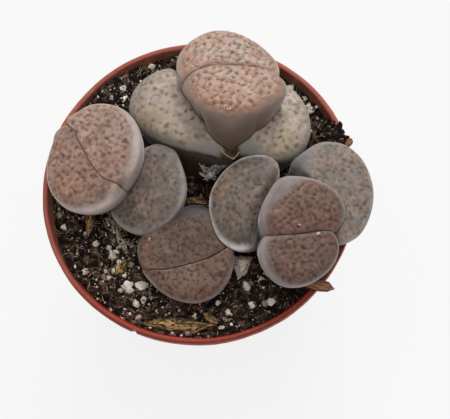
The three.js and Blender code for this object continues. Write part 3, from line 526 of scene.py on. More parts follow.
def leaf_marks(seed, leaf, dome, outline, centre, plan, reach):
    """What the skin shows over the points of a face, as named in SKIN, and how far it rises"""
    look = LOOKS[leaf["look"]]
    draw = np.random.default_rng(seed)
    inward = inward_of(seed, leaf, look, centre, plan, reach)
    window = smoothstep(inward / 0.22 + 0.5)
    marked = smoothstep(inward / 0.16 + 0.5)
    edge = np.exp(-((inward - 0.06) / 0.06) ** 2)

    at = unrolled(plan, reach, centre, outline, dome)
    x, y = at.T
    at = at + 0.34 * np.c_[noise2(x / 1.1 + seed, y / 1.1), noise2(x / 1.1, y / 1.1 - seed)]
    low, high = at.min(0) - 1, at.max(0) + 1
    tries = low + (high - low) * draw.random((4000, 2))
    pebbles = spread_out(tries, look["pebble"] * (0.75 + 0.4 * draw.random(len(tries))))
    near, order, to_border = borders(pebbles, at)
    groove, sunk = np.zeros(len(plan)), np.zeros(len(plan))
    for k, gap in enumerate(to_border, 1):
        chance = (hash2(order[:, 0] + order[:, k], order[:, 0] * order[:, k]) + 1) / 2
        depth = np.where(chance < look["share"], 0.7 + 0.3 * np.cos(40 * chance), 0.14)
        groove = np.maximum(groove, depth * np.exp(-((gap / look["groove"]) ** 2)))
        sunk = np.maximum(sunk, depth * np.exp(-((gap / look["dip"]) ** 2)))
    own = (1 + look["mixed"] * hash2(order[:, 0] + 0.5, order[:, 0] * 0 + seed)) / 2

    corner = borders(pebbles, tries)[0]
    ranked = tries[np.argsort(corner[:, 2] - corner[:, 0] + 0.5 * draw.random(len(tries)))]
    spots = spread_out(ranked[:2200], look["apart"] * (0.8 + 0.5 * draw.random(2200)))
    size = look["spot"] * (0.65 + 0.65 * draw.random(len(spots)))
    stretch = 1 + look["long"] * draw.random(len(spots)) ** 2
    turn = math.pi * draw.random(len(spots))
    away = at[:, None] - spots
    lengthwise = (away[..., 0] * np.cos(turn) + away[..., 1] * np.sin(turn)) / stretch
    crosswise = -away[..., 0] * np.sin(turn) + away[..., 1] * np.cos(turn)
    distance = np.hypot(lengthwise, crosswise) / size
    nearest = distance.argmin(1)
    distance = distance.min(1)
    strength = look["least"] + (1 - look["least"]) * draw.random(len(spots))
    spot = smoothstep((1.65 - distance) / 1.3) * strength[nearest]
    spot_tone = draw.random(len(spots))[nearest]

    patch = np.zeros(len(plan))
    for patch_x, patch_y, radius, amount in leaf["patch"]:
        away = np.hypot(plan[:, 0] - patch_x, plan[:, 1] - patch_y) / radius
        patch = np.maximum(patch, amount * np.exp(-(away**2)))
    rise = look["rise"] * (0.5 - sunk - 0.25 * (near[:, 0] / look["pebble"]) ** 2)
    rise = rise - look["pit"] * strength[nearest] * np.exp(-((distance / 1.2) ** 2))
    rise = rise + 0.1 * noise2(x / 3.1, y / 3.1 + seed)
    if "crease" in leaf:
        angle = np.degrees(np.arctan2(plan[:, 1] - centre[1], plan[:, 0] - centre[0]))
        facing = smoothstep(np.cos(np.radians(angle - leaf["crease"])) / CREASE_SPAN)
        rise = rise * (1 - 0.8 * facing * smoothstep((reach - 0.6) / 0.35))
    return window, edge, spot * marked, groove * marked, spot_tone, patch, own, rise * window


SKIN = ("window", "edge", "spot", "groove", "tone", "patch", "own", "rise")


def finished_leaf(name, seed, head, leaf):
    """A leaf with its skin raised and pitted, and what its skin shows at each point"""
    rings, top, bottom, centre, reach, depth = leaf_rings(head, leaf, TURNS, DOME_STEPS, FLANK_STEPS)
    body, level, turn = leaf_body(name, rings, top, bottom)
    points = points_of(body)
    ring_reach = np.r_[0, reach, np.full(len(depth) + 1, 1.2)]
    ring_depth = np.r_[np.zeros(len(reach) + 1), depth, 1]
    outline = smooth_outline(leaf["outline"], 200, 0)
    on_face = level <= len(reach)
    skin = {key: np.zeros(len(points)) for key in SKIN}
    found = leaf_marks(seed, leaf, head["dome"], outline, centre, points[on_face, :2],
                       ring_reach[level[on_face]])
    for key, values in zip(SKIN, found):
        skin[key][on_face] = values
    normal = leaning(*leaf.get("face", head["face"])[1:])
    swell = 0.12 * noise2(points[:, 0] / 4.3 + seed, points[:, 1] / 4.3) * (ring_reach[level] < 1)
    points += normal * (skin.pop("rise") + swell)[:, None]
    set_points(body, points)
    # depth, which the flank's painted shade follows: it grows down the flank as fall says, at the painted shade
    # places, and onto the face where low says
    skin["depth"] = np.minimum(ring_depth[level] * leaf.get("fall", 1), 1)
    for deep_x, deep_y, radius in leaf.get("painted_shade_places", []):
        away = np.hypot(points[:, 0] - deep_x, points[:, 1] - deep_y) / radius
        skin["depth"] = np.maximum(skin["depth"], 0.35 * np.exp(-(away**2)))
    if "low" in leaf:
        toward, share, narrow = leaf["low"]
        angle = np.degrees(np.arctan2(points[:, 1] - centre[1], points[:, 0] - centre[0]))
        start = 1 - share * np.maximum(np.cos(np.radians(angle - toward)), 0) ** narrow
        uneven = 0.02 * noise2(points[:, 0] / 2, points[:, 1] / 2)
        low = 0.35 * smoothstep((ring_reach[level] + uneven - start) / 0.12)
        skin["depth"] = np.maximum(skin["depth"], low)
    for key in ("cast", "shade", "dim", "band"):
        skin[key] = np.full(len(points), leaf.get(key, 1.0 if key != "band" else 0.0))
    # Painted highlight: a pale rim along the shoulder, on the face's outer edge and the top of the flank
    edge = smoothstep((ring_reach[level] - 1 + EDGE_HIGHLIGHT_BREADTH) / EDGE_HIGHLIGHT_BREADTH)
    pale = leaf.get("edge_highlight", EDGE_HIGHLIGHT) * edge * np.exp(-((ring_depth[level] / EDGE_HIGHLIGHT_DEPTH) ** 2))
    # lit paints the skin lighter toward one way and darker away from it
    toward, gain = leaf.get("lit", (0, 0))
    side = (points[:, :2] - centre[:2]) @ way(toward) / np.ptp(outline[:, 0]) * 2
    skin["shade"] *= 1 + pale + gain * side
    skin["dim"] *= 1 + pale
    return body, points, skin


def rim_room():
    """What the leaves leave free round the rim"""
    inner = lambda z: BASE_RADIUS + (RIM_RADIUS - LIP_OVERHANG - BASE_RADIUS) * z / POT_HEIGHT - WALL
    rim_inside = RIM_RADIUS - RIM_WIDTH - 0.12
    return turned("rim_room", [
        (inner(STEP_HEIGHT) - STEP_DEPTH, STEP_HEIGHT), (RIM_RADIUS + 6, STEP_HEIGHT),
        (RIM_RADIUS + 6, POT_HEIGHT + 0.12), (rim_inside, POT_HEIGHT + 0.12),
        (rim_inside, POT_HEIGHT - 0.3), (inner(POT_HEIGHT - LIP_HEIGHT) - 0.12, POT_HEIGHT - LIP_HEIGHT),
    ], 120)


def turned(name, section, steps):
    """A closed ring of section points, spun round the pot's axis"""
    section = np.array(section, float)
    bpy.ops.mesh.primitive_circle_add(vertices=len(section), radius=1, fill_type="NOTHING")
    body = called(name)
    set_points(body, np.c_[section[:, 0], np.zeros(len(section)), section[:, 1]])
    pick_only(body)
    bpy.ops.object.mode_set(mode="EDIT")
    bpy.ops.mesh.select_all(action="SELECT")
    bpy.ops.mesh.spin(steps=steps, angle=2 * math.pi, center=(0, 0, 0), axis=(0, 0, 1), use_auto_merge=True)
    bpy.ops.object.mode_set(mode="OBJECT")
    close_up(body, 1e-5)
    return body


# Materials
def tone(code):
    """A colour from its six-digit code, as a shader takes it"""
    parts = (int(code[i:i + 2], 16) / 255 for i in (0, 2, 4))
    return tuple(c / 12.92 if c <= 0.04045 else ((c + 0.055) / 1.055) ** 2.4 for c in parts) + (1.0,)


class Wiring:
    """Adds nodes to a tree and links what they are given"""

    def __init__(self, tree):
        self.tree = tree

    def node(self, kind, values=None, **settings):
        made = self.tree.nodes.new(kind)
        for key, value in settings.items():
            setattr(made, key, value)
        for key, value in (values or {}).items():
            if isinstance(value, bpy.types.NodeSocket):
                self.tree.links.new(value, made.inputs[key])
            else:
                made.inputs[key].default_value = value
        return made

    def mix(self, factor, a, b, blend="MIX"):
        made = self.node("ShaderNodeMix", {0: factor, 6: a, 7: b}, data_type="RGBA", blend_type=blend)
        made.clamp_factor = True
        return made.outputs[2]

    def darken(self, colour, amount):
        """The colour made darker or lighter by a factor"""
        grey = self.node("ShaderNodeCombineColor", {0: amount, 1: amount, 2: amount}).outputs[0]
        return self.mix(1.0, colour, grey, "MULTIPLY")

    def sum(self, operation, a, b, clamp=False):
        return self.node("ShaderNodeMath", {0: a, 1: b}, operation=operation, use_clamp=clamp).outputs[0]

    def noise(self, where, scale, detail=2.0, roughness=0.5, warp=0.0):
        values = {"Vector": where, "Scale": scale, "Detail": detail, "Roughness": roughness, "Distortion": warp}
        return self.node("ShaderNodeTexNoise", values).outputs[0]

    def span(self, value, low, high, to_low=0.0, to_high=1.0):
        values = {0: value, 1: low, 2: high, 3: to_low, 4: to_high}
        return self.node("ShaderNodeMapRange", values, interpolation_type="SMOOTHSTEP").outputs[0]

    def parts(self, vector):
        return self.node("ShaderNodeSeparateXYZ", {0: vector}).outputs

    def attribute(self, name):
        return self.node("ShaderNodeAttribute", attribute_name=name).outputs

    def bump(self, height, strength, distance, normal=None):
        values = {"Height": height, "Strength": strength, "Distance": distance}
        if normal is not None:
            values["Normal"] = normal
        return self.node("ShaderNodeBump", values).outputs[0]

    def place(self):
        return self.node("ShaderNodeTexCoord").outputs["Object"]


COLOR, FLOAT, VECTOR = "NodeSocketColor", "NodeSocketFloat", "NodeSocketVector"


def new_effect(name, inputs, outputs):
    """An empty node group with named inputs and outputs"""
    tree = bpy.data.node_groups.new(name, "ShaderNodeTree")
    for label, kind in inputs.items():
        tree.interface.new_socket(name=label, in_out="INPUT", socket_type=kind)
    for label, kind in outputs.items():
        tree.interface.new_socket(name=label, in_out="OUTPUT", socket_type=kind)
    wires = Wiring(tree)
    return tree, wires, wires.node("NodeGroupInput").outputs, wires.node("NodeGroupOutput")


def new_finish(name, **constants):
    """A material with its surface shader, whose constants are set on the shader's own sockets"""
    material = bpy.data.materials.new(name)
    material.use_nodes = True
    tree = material.node_tree
    tree.nodes.clear()
    wires = Wiring(tree)
    surface = wires.node("ShaderNodeBsdfPrincipled", {k.replace("_", " "): v for k, v in constants.items()})
    wires.node("ShaderNodeOutputMaterial", {"Surface": surface.outputs[0]})
    return material, wires, surface


def into(wires, surface, **links):
    for key, socket in links.items():
        wires.tree.links.new(socket, surface.inputs[key.replace("_", " ")])


def leaf_skin_effect():
    """The skin of a living stone: a marked window on the face and a waxy flank, with painted light and shade on
    both, and painted shade down the flank and along the fissure
    """
    tree, w, given, result = new_effect("leaf_skin", {
        "Where": VECTOR, "Marks": VECTOR, "Zones": VECTOR, "Casts": VECTOR, "Painted shading": VECTOR, "Ground": COLOR,
        "Second ground": COLOR, "Window edge": COLOR, "Patch": COLOR, "Groove": COLOR, "Spot": COLOR,
        "Second spot": COLOR, "Flank": COLOR, "Deep flank": COLOR, "Flank span": FLOAT,
    }, {"Color": COLOR, "Roughness": FLOAT, "Normal": VECTOR})
    spot, groove, spot_tone = w.parts(given["Marks"])[:3]
    window, edge, depth = w.parts(given["Zones"])[:3]
    patch, cast, own = w.parts(given["Casts"])[:3]
    where = given["Where"]
    broad = w.noise(where, 190, 3, 0.55)
    fine = w.noise(where, 900, 3, 0.6)
    medium = w.noise(where, 380, 3, 0.6)
    dust = w.noise(where, 2600, 2, 0.6)
    share = w.sum("ADD", w.sum("MULTIPLY", w.sum("SUBTRACT", broad, 0.5), 3.0), cast)
    share = w.sum("ADD", share, w.sum("MULTIPLY", w.sum("SUBTRACT", own, 0.5), 0.9), True)
    face = w.mix(share, given["Ground"], given["Second ground"])
    face = w.mix(w.sum("MULTIPLY", patch, w.span(fine, 0.3, 0.6)), face, given["Patch"])
    face = w.mix(w.sum("MULTIPLY", edge, 0.6), face, given["Window edge"])
    face = w.darken(face, w.sum("MULTIPLY", w.span(fine, 0.25, 0.75, 0.84, 1.14), w.span(own, 0, 1, 0.95, 1.06)))
    face = w.darken(face, w.span(medium, 0.3, 0.7, 0.84, 1.17))
    face = w.mix(w.sum("MULTIPLY", groove, w.span(fine, 0.2, 0.6, 0.6, 1.0)), face, given["Groove"])
    blurred = w.sum("MULTIPLY", spot, w.span(w.noise(where, 1500, 2, 0.5), 0.25, 0.55, 0.72, 1.0))
    face = w.mix(w.sum("MULTIPLY", blurred, 0.92), face, w.mix(spot_tone, given["Spot"], given["Second spot"]))
    # Painted shade down the flank: the flank turns to the Shaded flank colour with depth
    uneven = w.sum("MULTIPLY", w.sum("SUBTRACT", broad, 0.5), 0.12)
    sunk = w.span(w.sum("DIVIDE", w.sum("ADD", depth, uneven), given["Flank span"]), 0.0, 1.0)
    flank = w.mix(sunk, given["Flank"], given["Deep flank"])
    flank = w.darken(flank, w.span(w.noise(where, 420, 4, 0.6), 0.3, 0.7, 0.92, 1.07))
    ends = result.inputs
    # shade and dim paint light and shade on the face and the flank; along the fissure the colour is pulled to a dark
    # painted shade
    fold, shade, dim = w.parts(given["Painted shading"])[:3]
    whole = w.mix(window, w.darken(flank, dim), w.darken(face, shade))
    whole = w.mix(w.sum("MULTIPLY", fold, 0.9), whole, w.darken(given["Groove"], 0.3))
    tree.links.new(whole, ends["Color"])
    tree.links.new(w.span(dust, 0.3, 0.7, 0.42, 0.6), ends["Roughness"])
    height = w.sum("ADD", w.sum("MULTIPLY", dust, 0.35), w.sum("MULTIPLY", fine, 0.8))
    tree.links.new(w.bump(height, 0.5, 0.00006), ends["Normal"])
    return tree


LEAF_SKIN = leaf_skin_effect()
# Deep_flank is the lower flank colour: painted shade where the flank goes down between heads, with its own browner
# tone
LEAF_PALETTES = {
    "salmon_leaf": dict(Ground="b59280", Second_ground="a8998e", Window_edge="9d765c", Patch="a97b5c",
                        Groove="85583f", Spot="5f4234", Second_spot="875f46", Flank="947e74",
                        Deep_flank="795e48", Flank_span=0.5),
    "tan_leaf": dict(Ground="a88273", Second_ground="a18b80", Window_edge="98806e", Patch="ac8065",
                     Groove="80604f", Spot="5b4537", Second_spot="6e5440", Flank="b8a8a2",
                     Deep_flank="6b5d54", Flank_span=0.5),
    "rose_leaf": dict(Ground="7f5b4e", Second_ground="786557", Window_edge="6c564a", Patch="726453",
                      Groove="5c382f", Spot="4a2a20", Second_spot="4b392b", Flank="877c79",
                      Deep_flank="6e6058", Flank_span=0.5),
    "khaki_leaf": dict(Ground="b7a59a", Second_ground="af9e8d", Window_edge="9a9080", Patch="93824f",
                       Groove="857a66", Spot="524c3b", Second_spot="6b5f42", Flank="827f7b",
                       Deep_flank="3d2813", Flank_span=0.2),
    "grey_leaf": dict(Ground="7f756f", Second_ground="947f70", Window_edge="87807a", Patch="a08068",
                      Groove="5a534d", Spot="443f39", Second_spot="5c4833", Flank="96918d",
                      Deep_flank="5a5049", Flank_span=0.5),
    "brown_leaf": dict(Ground="805e4d", Second_ground="816e5c", Window_edge="72605a", Patch="8a6b5c",
                       Groove="6b3a2d", Spot="3c221c", Second_spot="57291e", Flank="7a7070",
                       Deep_flank="5c4e49", Flank_span=0.5),
}


def leaf_finish(name, palette):
    material, w, surface = new_finish(
        name, Specular_IOR_Level=0.35, Sheen_Weight=0.45, Sheen_Roughness=0.3,
        Subsurface_Weight=0.08, Subsurface_Radius=(0.004, 0.0022, 0.0016), Subsurface_Scale=0.4)
    skin = w.node("ShaderNodeGroup")
    skin.node_tree = LEAF_SKIN
    w.tree.links.new(w.place(), skin.inputs["Where"])
    for label, attribute in (("Marks", "marks"), ("Zones", "zones"), ("Casts", "casts"), ("Painted shading", "painted_shading")):
        w.tree.links.new(w.attribute(attribute)["Vector"], skin.inputs[label])
    for label, value in palette.items():
        skin.inputs[label.replace("_", " ")].default_value = tone(value) if isinstance(value, str) else value
    into(w, surface, Base_Color=skin.outputs["Color"], Roughness=skin.outputs["Roughness"],
         Normal=skin.outputs["Normal"])
    return material


def pot_finish():
    """Moulded plastic, a little worn and dusty along its rim, with a painted shadow line round the rim's outer edge
    and painted sheen mixed with the dust on its back-left side
    """
    material, w, surface = new_finish("pot_plastic", Specular_IOR_Level=0.28)
    where = w.place()
    x, y, z = w.parts(where)[:3]
    broad = w.noise(where, 60, 4, 0.6)
    grain = w.noise(where, 1400, 3, 0.6)
    scuffs = w.span(w.noise(where, 480, 5, 0.7, 0.6), 0.56, 0.68)
    colour = w.mix(w.span(broad, 0.3, 0.7), tone("962c16"), tone("a3341b"))
    ring = w.sum("SQRT", w.sum("ADD", w.sum("MULTIPLY", x, x), w.sum("MULTIPLY", y, y)), 0.0)
    top = w.span(z, 0.0574, 0.0577)
    band = w.sum("MULTIPLY", w.span(ring, 0.03895, 0.0391), w.span(ring, 0.0396, 0.03945))
    colour = w.mix(w.sum("MULTIPLY", w.sum("MULTIPLY", band, top), 0.55), colour, tone("7a3a2a"))
    # Painted shadow: a dark line round the rim's outer edge, fainter on its back-left side
    line = w.sum("MULTIPLY", w.span(ring, 0.03945, 0.0396), w.span(ring, 0.03985, 0.0397))
    # The rim's back-left side, paler there with dust and with painted sheen
    dust_and_sheen_side = w.span(w.sum("SUBTRACT", y, w.sum("MULTIPLY", x, 0.5)), -0.022, 0.008)
    line = w.sum("MULTIPLY", line, w.sum("SUBTRACT", 1.0, dust_and_sheen_side))
    colour = w.mix(w.sum("MULTIPLY", w.sum("MULTIPLY", line, top), 0.75), colour, tone("431a12"))
    # A pale film on the rim there: partly dust, partly painted sheen
    high = w.span(z, 0.0555, 0.0585)
    film = w.sum("MULTIPLY", w.sum("MULTIPLY", dust_and_sheen_side, high), w.span(ring, 0.0386, 0.0395, 0.1, 0.42))
    colour = w.mix(w.sum("MULTIPLY", film, w.span(broad, 0.35, 0.6, 0.6, 1.0)), colour, tone("bd8471"))
    scuffed = w.sum("MULTIPLY", w.sum("MULTIPLY", scuffs, high), w.span(dust_and_sheen_side, 0.0, 1.0, 0.12, 0.45))
    colour = w.mix(scuffed, colour, tone("b5735c"))
    dirt = w.span(w.noise(where, 900, 4, 0.65), 0.55, 0.7)
    colour = w.mix(w.sum("MULTIPLY", dirt, w.sum("MULTIPLY", high, 0.5)), colour, tone("5c3226"))
    inside = w.sum("MULTIPLY", w.span(ring, 0.03885, 0.03865), w.span(z, 0.05, 0.054))
    caked = w.span(w.noise(where, 700, 4, 0.65), 0.35, 0.6, 0.35, 0.9)
    colour = w.mix(w.sum("MULTIPLY", w.sum("MULTIPLY", inside, dust_and_sheen_side), caked), colour, tone("94705f"))
    foot = w.span(z, 0.012, 0.0)
    colour = w.mix(w.sum("MULTIPLY", foot, w.span(w.noise(where, 160, 4, 0.6), 0.4, 0.65)), colour, tone("93604c"))
    into(w, surface, Base_Color=colour, Roughness=w.span(grain, 0.3, 0.7, 0.38, 0.58),
         Normal=w.bump(w.sum("ADD", grain, w.sum("MULTIPLY", scuffs, 0.8)), 0.35, 0.00008))
    return material


def soil_finish(name, *tones):
    """Peat: each crumb or fibre has its own tone out of a row of them, and paler dust on its grain"""
    material, w, surface = new_finish(name, Specular_IOR_Level=0.2)
    where = w.place()
    broad = w.noise(where, 420, 4, 0.65)
    fine = w.noise(where, 2400, 3, 0.65)
    own = w.sum("ADD", w.attribute("tone")["Fac"], w.sum("MULTIPLY", w.sum("SUBTRACT", broad, 0.5), 0.9))
    colour = tone(tones[0])
    for i, code in enumerate(tones[1:], 1):
        start = i / len(tones)
        colour = w.mix(w.span(own, start - 0.08, start + 0.08), colour, tone(code))
    colour = w.darken(colour, w.span(fine, 0.3, 0.7, 0.6, 1.35))
    into(w, surface, Base_Color=colour, Roughness=w.span(fine, 0.3, 0.7, 0.8, 0.97),
         Normal=w.bump(w.sum("ADD", fine, broad), 0.8, 0.00025))
    return material


def perlite_finish(name, light, dull):
    material, w, surface = new_finish(name, Specular_IOR_Level=0.25, Subsurface_Weight=0.1,
                                      Subsurface_Radius=(0.001, 0.001, 0.0008), Subsurface_Scale=0.5)
    where = w.place()
    pores = w.node("ShaderNodeTexVoronoi", {"Vector": where, "Scale": 1900.0}).outputs["Distance"]
    fine = w.noise(where, 2600, 3, 0.6)
    colour = w.mix(w.span(w.noise(where, 330, 3, 0.6), 0.35, 0.65), tone(light), tone(dull))
    colour = w.mix(w.sum("MULTIPLY", w.span(fine, 0.56, 0.64), 0.5), colour, tone("7d6c55"))
    colour = w.mix(w.span(w.noise(where, 1300, 2, 0.5), 0.62, 0.66), colour, tone("4e3d2c"))
    into(w, surface, Base_Color=colour, Roughness=w.span(fine, 0.3, 0.7, 0.75, 0.95),
         Normal=w.bump(w.sum("ADD", pores, fine), 0.7, 0.0002))
    return material


def dry_scale_effect():
    """Dry plant skin: fine lengthwise stripes over a blotched ground, darker where Along's third part is low"""
    tree, w, given, result = new_effect("dry_scale", {
        "Where": VECTOR, "Along": VECTOR, "Ground": COLOR, "Stripe": COLOR, "Blotch": COLOR,
        "Dark tone and shade": COLOR, "Blotch share": FLOAT}, {"Color": COLOR, "Roughness": FLOAT, "Normal": VECTOR})
    stretched = w.node("ShaderNodeMapping", {"Vector": given["Along"], "Scale": (0.8, 3.6, 1.0)}).outputs[0]
    stripe = w.noise(stretched, 1.6, 4, 0.6)
    blotch = w.noise(given["Where"], 520, 4, 0.6)
    colour = w.mix(w.span(stripe, 0.46, 0.54), given["Ground"], given["Stripe"])
    colour = w.mix(w.sum("MULTIPLY", w.span(blotch, 0.5, 0.66), given["Blotch share"]), colour, given["Blotch"])
    colour = w.mix(w.parts(given["Along"])[2], given["Dark tone and shade"], colour)
    ends = result.inputs
    tree.links.new(colour, ends["Color"])
    tree.links.new(w.span(blotch, 0.3, 0.7, 0.5, 0.8), ends["Roughness"])
    tree.links.new(w.bump(w.sum("ADD", stripe, w.noise(given["Where"], 2200, 2, 0.6)), 0.6, 0.00016), ends["Normal"])
    return tree


DRY_SCALE = dry_scale_effect()


def dry_finish(name, ground, stripe, blotch, shade, blotch_share):
    material, w, surface = new_finish(name, Specular_IOR_Level=0.3)
    scale = w.node("ShaderNodeGroup")
    scale.node_tree = DRY_SCALE
    w.tree.links.new(w.place(), scale.inputs["Where"])
    w.tree.links.new(w.attribute("along")["Vector"], scale.inputs["Along"])
    for label, value in (("Ground", tone(ground)), ("Stripe", tone(stripe)), ("Blotch", tone(blotch)),
                         ("Dark tone and shade", tone(shade)), ("Blotch share", blotch_share)):
        scale.inputs[label].default_value = value
    into(w, surface, Base_Color=scale.outputs["Color"], Roughness=scale.outputs["Roughness"],
         Normal=scale.outputs["Normal"])
    return material


FINISHES = {name: leaf_finish(name, palette) for name, palette in LEAF_PALETTES.items()}
POT_PLASTIC = pot_finish()
SOIL = soil_finish("soil", "100a08", "16100c", "291d17", "433229", "5f4b3f")
CRUMB = soil_finish("soil_crumb", "150f0b", "261b14", "48362c", "776152", "a6917f", "cbb8aa")
FIBRE_PALE = soil_finish("fibre_pale", "856858", "a58a77", "c0a996", "d8c7b8")
FIBRE_TAN = soil_finish("fibre_tan", "281c16", "513a2e", "86695a", "baa08e")
PERLITE = perlite_finish("perlite", "f0ece2", "d9cdb3")
# A paler, pinker copy of the perlite finish for the large grain: its own warmer tone, with painted light where it
# lies in shade
PUMICE_WITH_PAINTED_LIGHT = perlite_finish("pumice", "fff6ea", "dcc3ae")
# The last colour of each is its dark one: painted shade on the sheath's lower film and the flower's lower fibres;
# the darker edges and ragged patches of the husks and the darker papery strips
HUSK = dry_finish("husk", "c09c66", "3c281a", "6a6138", "2a1a10", 0.3)
BARK = dry_finish("bark_husk", "b58868", "8a5f43", "9a7656", "4a2e20", 0.4)
SHEATH = dry_finish("dry_sheath", "d9cfb2", "a2946c", "ece7d2", "57462c", 0.6)
PAPER = dry_finish("dry_paper", "d6cdb6", "a0957d", "ece6d6", "3a3025", 0.5)
FLOWER = dry_finish("dry_fibre", "9b9996", "53504d", "d3d1ce", "5c5956", 0.7)


# The heads
BUILT = {}


def boxes_meet(a, b):
    pa, pb = points_of(a), points_of(b)
    return bool(np.all(pa.min(0) < pb.max(0)) and np.all(pb.min(0) < pa.max(0)))


def tree_of(points):
    tree = KDTree(len(points))
    for i, point in enumerate(points):
        tree.insert(point, i)
    tree.balance()
    return tree


def build_heads():
    rooms = []
    for number, (name, head) in enumerate(HEADS.items()):
        lobes = [finished_leaf(f"{name}_{i}", 10 * number + i + 3, head, leaf)
                 for i, leaf in enumerate(head["leaves"])]
        body = lobes[0][0]
        for other, _, _ in lobes[1:]:
            carve(body, other, "UNION")
        carve(body, rim_room())
        for room in rooms:
            if boxes_meet(body, room):
                carve(body, room, keep=True)
        for i, leaf in enumerate(head["leaves"]):
            rings, top, bottom, *_ = leaf_rings(head, leaf, 96, 18, 18, PRESS_GAP)
            rooms.append(leaf_body(f"{name}_room_{i}", rings, top, bottom)[0])
        skins = {key: np.concatenate([lobe[2][key] for lobe in lobes]) for key in lobes[0][2]}
        points = points_of(body)
        tree = tree_of(np.concatenate([lobe[1] for lobe in lobes]))
        nearest = np.array([tree.find(point)[1] for point in points])
        at = {key: values[nearest] for key, values in skins.items()}
        # Painted shade along the fissure where the two leaves of a pair meet
        fold = np.zeros(len(points))
        if len(lobes) == 2:
            second = nearest >= len(lobes[0][1])
            meeting = [tree_of(points[~second]), tree_of(points[second])]
            gap = np.array([meeting[not side].find(point)[2] for point, side in zip(points, second)])
            fold = smoothstep((FOLD_REACH - gap) / FOLD_BLUR)
            ragged = gap + 0.25 * noise2(points[:, 0] / 0.9, points[:, 1] / 0.9) - 0.2
            clear = np.where(at["band"] > 0, smoothstep(ragged / np.maximum(at["band"], 0.01)), 1)
            for key in ("window", "spot", "groove"):
                at[key] = at[key] * clear
        store(body, "marks", np.c_[at["spot"], at["groove"], at["tone"]])
        store(body, "zones", np.c_[at["window"], at["edge"], at["depth"]])
        store(body, "casts", np.c_[at["patch"], at["cast"], at["own"]])
        store(body, "painted_shading", np.c_[fold, at["shade"], at["dim"]])
        body.name = body.data.name = name + "_skin"
        soften(body)
        BUILT[name] = show(body, FINISHES[head["slot"]], head["slot"], name)
    for room in rooms:
        discard(room)


build_heads()


# The pot
def outer(z):
    return BASE_RADIUS + (RIM_RADIUS - LIP_OVERHANG - BASE_RADIUS) * z / POT_HEIGHT


def build_pot():
    foot, lip = STEP_HEIGHT - STEP_DEPTH, POT_HEIGHT - LIP_HEIGHT
    inside_rim = RIM_RADIUS - RIM_WIDTH
    body = turned("pot_body", [
        (8, 0.5), (22.4, 0.5), (22.8, 0), (BASE_RADIUS - 0.5, 0), (BASE_RADIUS - 0.1, 0.12),
        (BASE_RADIUS + 0.05, 0.5), (outer(14), 14), (outer(28), 28), (outer(foot) - STEP_DEPTH, foot - 0.3),
        (outer(foot) - STEP_DEPTH + 0.15, foot), (outer(STEP_HEIGHT) - 0.1, STEP_HEIGHT - 0.1),
        (outer(STEP_HEIGHT), STEP_HEIGHT + 0.2), (outer(50), 50), (outer(lip) - 0.02, lip - 0.15),
        (outer(lip) + 0.1, lip), (RIM_RADIUS - 0.3, lip), (RIM_RADIUS - 0.06, lip + 0.1),
        (RIM_RADIUS, lip + 0.35), (RIM_RADIUS, POT_HEIGHT - 0.42), (RIM_RADIUS - 0.06, POT_HEIGHT - 0.18),
        (RIM_RADIUS - 0.22, POT_HEIGHT - 0.04), (RIM_RADIUS - 0.4, POT_HEIGHT),
        (inside_rim + 0.4, POT_HEIGHT), (inside_rim + 0.16, POT_HEIGHT - 0.06),
        (inside_rim + 0.03, POT_HEIGHT - 0.22), (inside_rim, POT_HEIGHT - 0.5),
        (outer(lip) - WALL, lip), (outer(50) - WALL, 50), (outer(STEP_HEIGHT) - WALL, STEP_HEIGHT),
        (outer(foot) - WALL - STEP_DEPTH, foot), (outer(20) - WALL, 20), (outer(FLOOR) - WALL, FLOOR + 0.6),
        (outer(FLOOR) - WALL - 0.6, FLOOR), (8, FLOOR),
    ], 180)
    bpy.ops.mesh.primitive_cylinder_add(vertices=48, radius=8.4 * MM, depth=1.5 * MM,
                                        location=(0, 0, 1.25 * MM))
    carve(body, called("pot_middle"), "UNION")
    for i in range(DRAIN_HOLES):
        turn = 2 * math.pi * i / DRAIN_HOLES
        at = (DRAIN_CIRCLE * math.cos(turn) * MM, DRAIN_CIRCLE * math.sin(turn) * MM, 0)
        bpy.ops.mesh.primitive_cylinder_add(vertices=32, radius=DRAIN_RADIUS * MM, depth=8 * MM, location=at)
        carve(body, called("drain_hole"))
        bpy.ops.mesh.primitive_cube_add(size=1, location=(at[0] * 1.25, at[1] * 1.25, 0),
                                        rotation=(0, 0, turn), scale=(0.010, 0.0032, 0.0018))
        carve(body, called("drain_channel"))
    nick = math.radians(246)
    bpy.ops.mesh.primitive_cube_add(
        size=1, location=(RIM_RADIUS * math.cos(nick) * MM, RIM_RADIUS * math.sin(nick) * MM, POT_HEIGHT * MM),
        rotation=(0, 0, nick + 0.3), scale=(0.0009, 0.0014, 0.007))
    carve(body, called("nick"))
    points = points_of(body)
    turn = np.arctan2(points[:, 1], points[:, 0])
    high = smoothstep((points[:, 2] - 50) / 6)
    ring = np.hypot(points[:, 0], points[:, 1])
    wave = 0.1 * noise2(turn * 4.1 + 30, points[:, 2] * 0) + 0.04 * noise2(turn * 23, points[:, 2] / 2)
    points[:, :2] *= (1 + (wave * high) / np.maximum(ring, 1))[:, None]
    points[:, 2] += 0.06 * high * noise2(turn * 6.3 + 11, turn * 0)
    set_points(body, points)
    soften(body, 40)
    return show(body, POT_PLASTIC, "pot_plastic", "pot")


POT = build_pot()


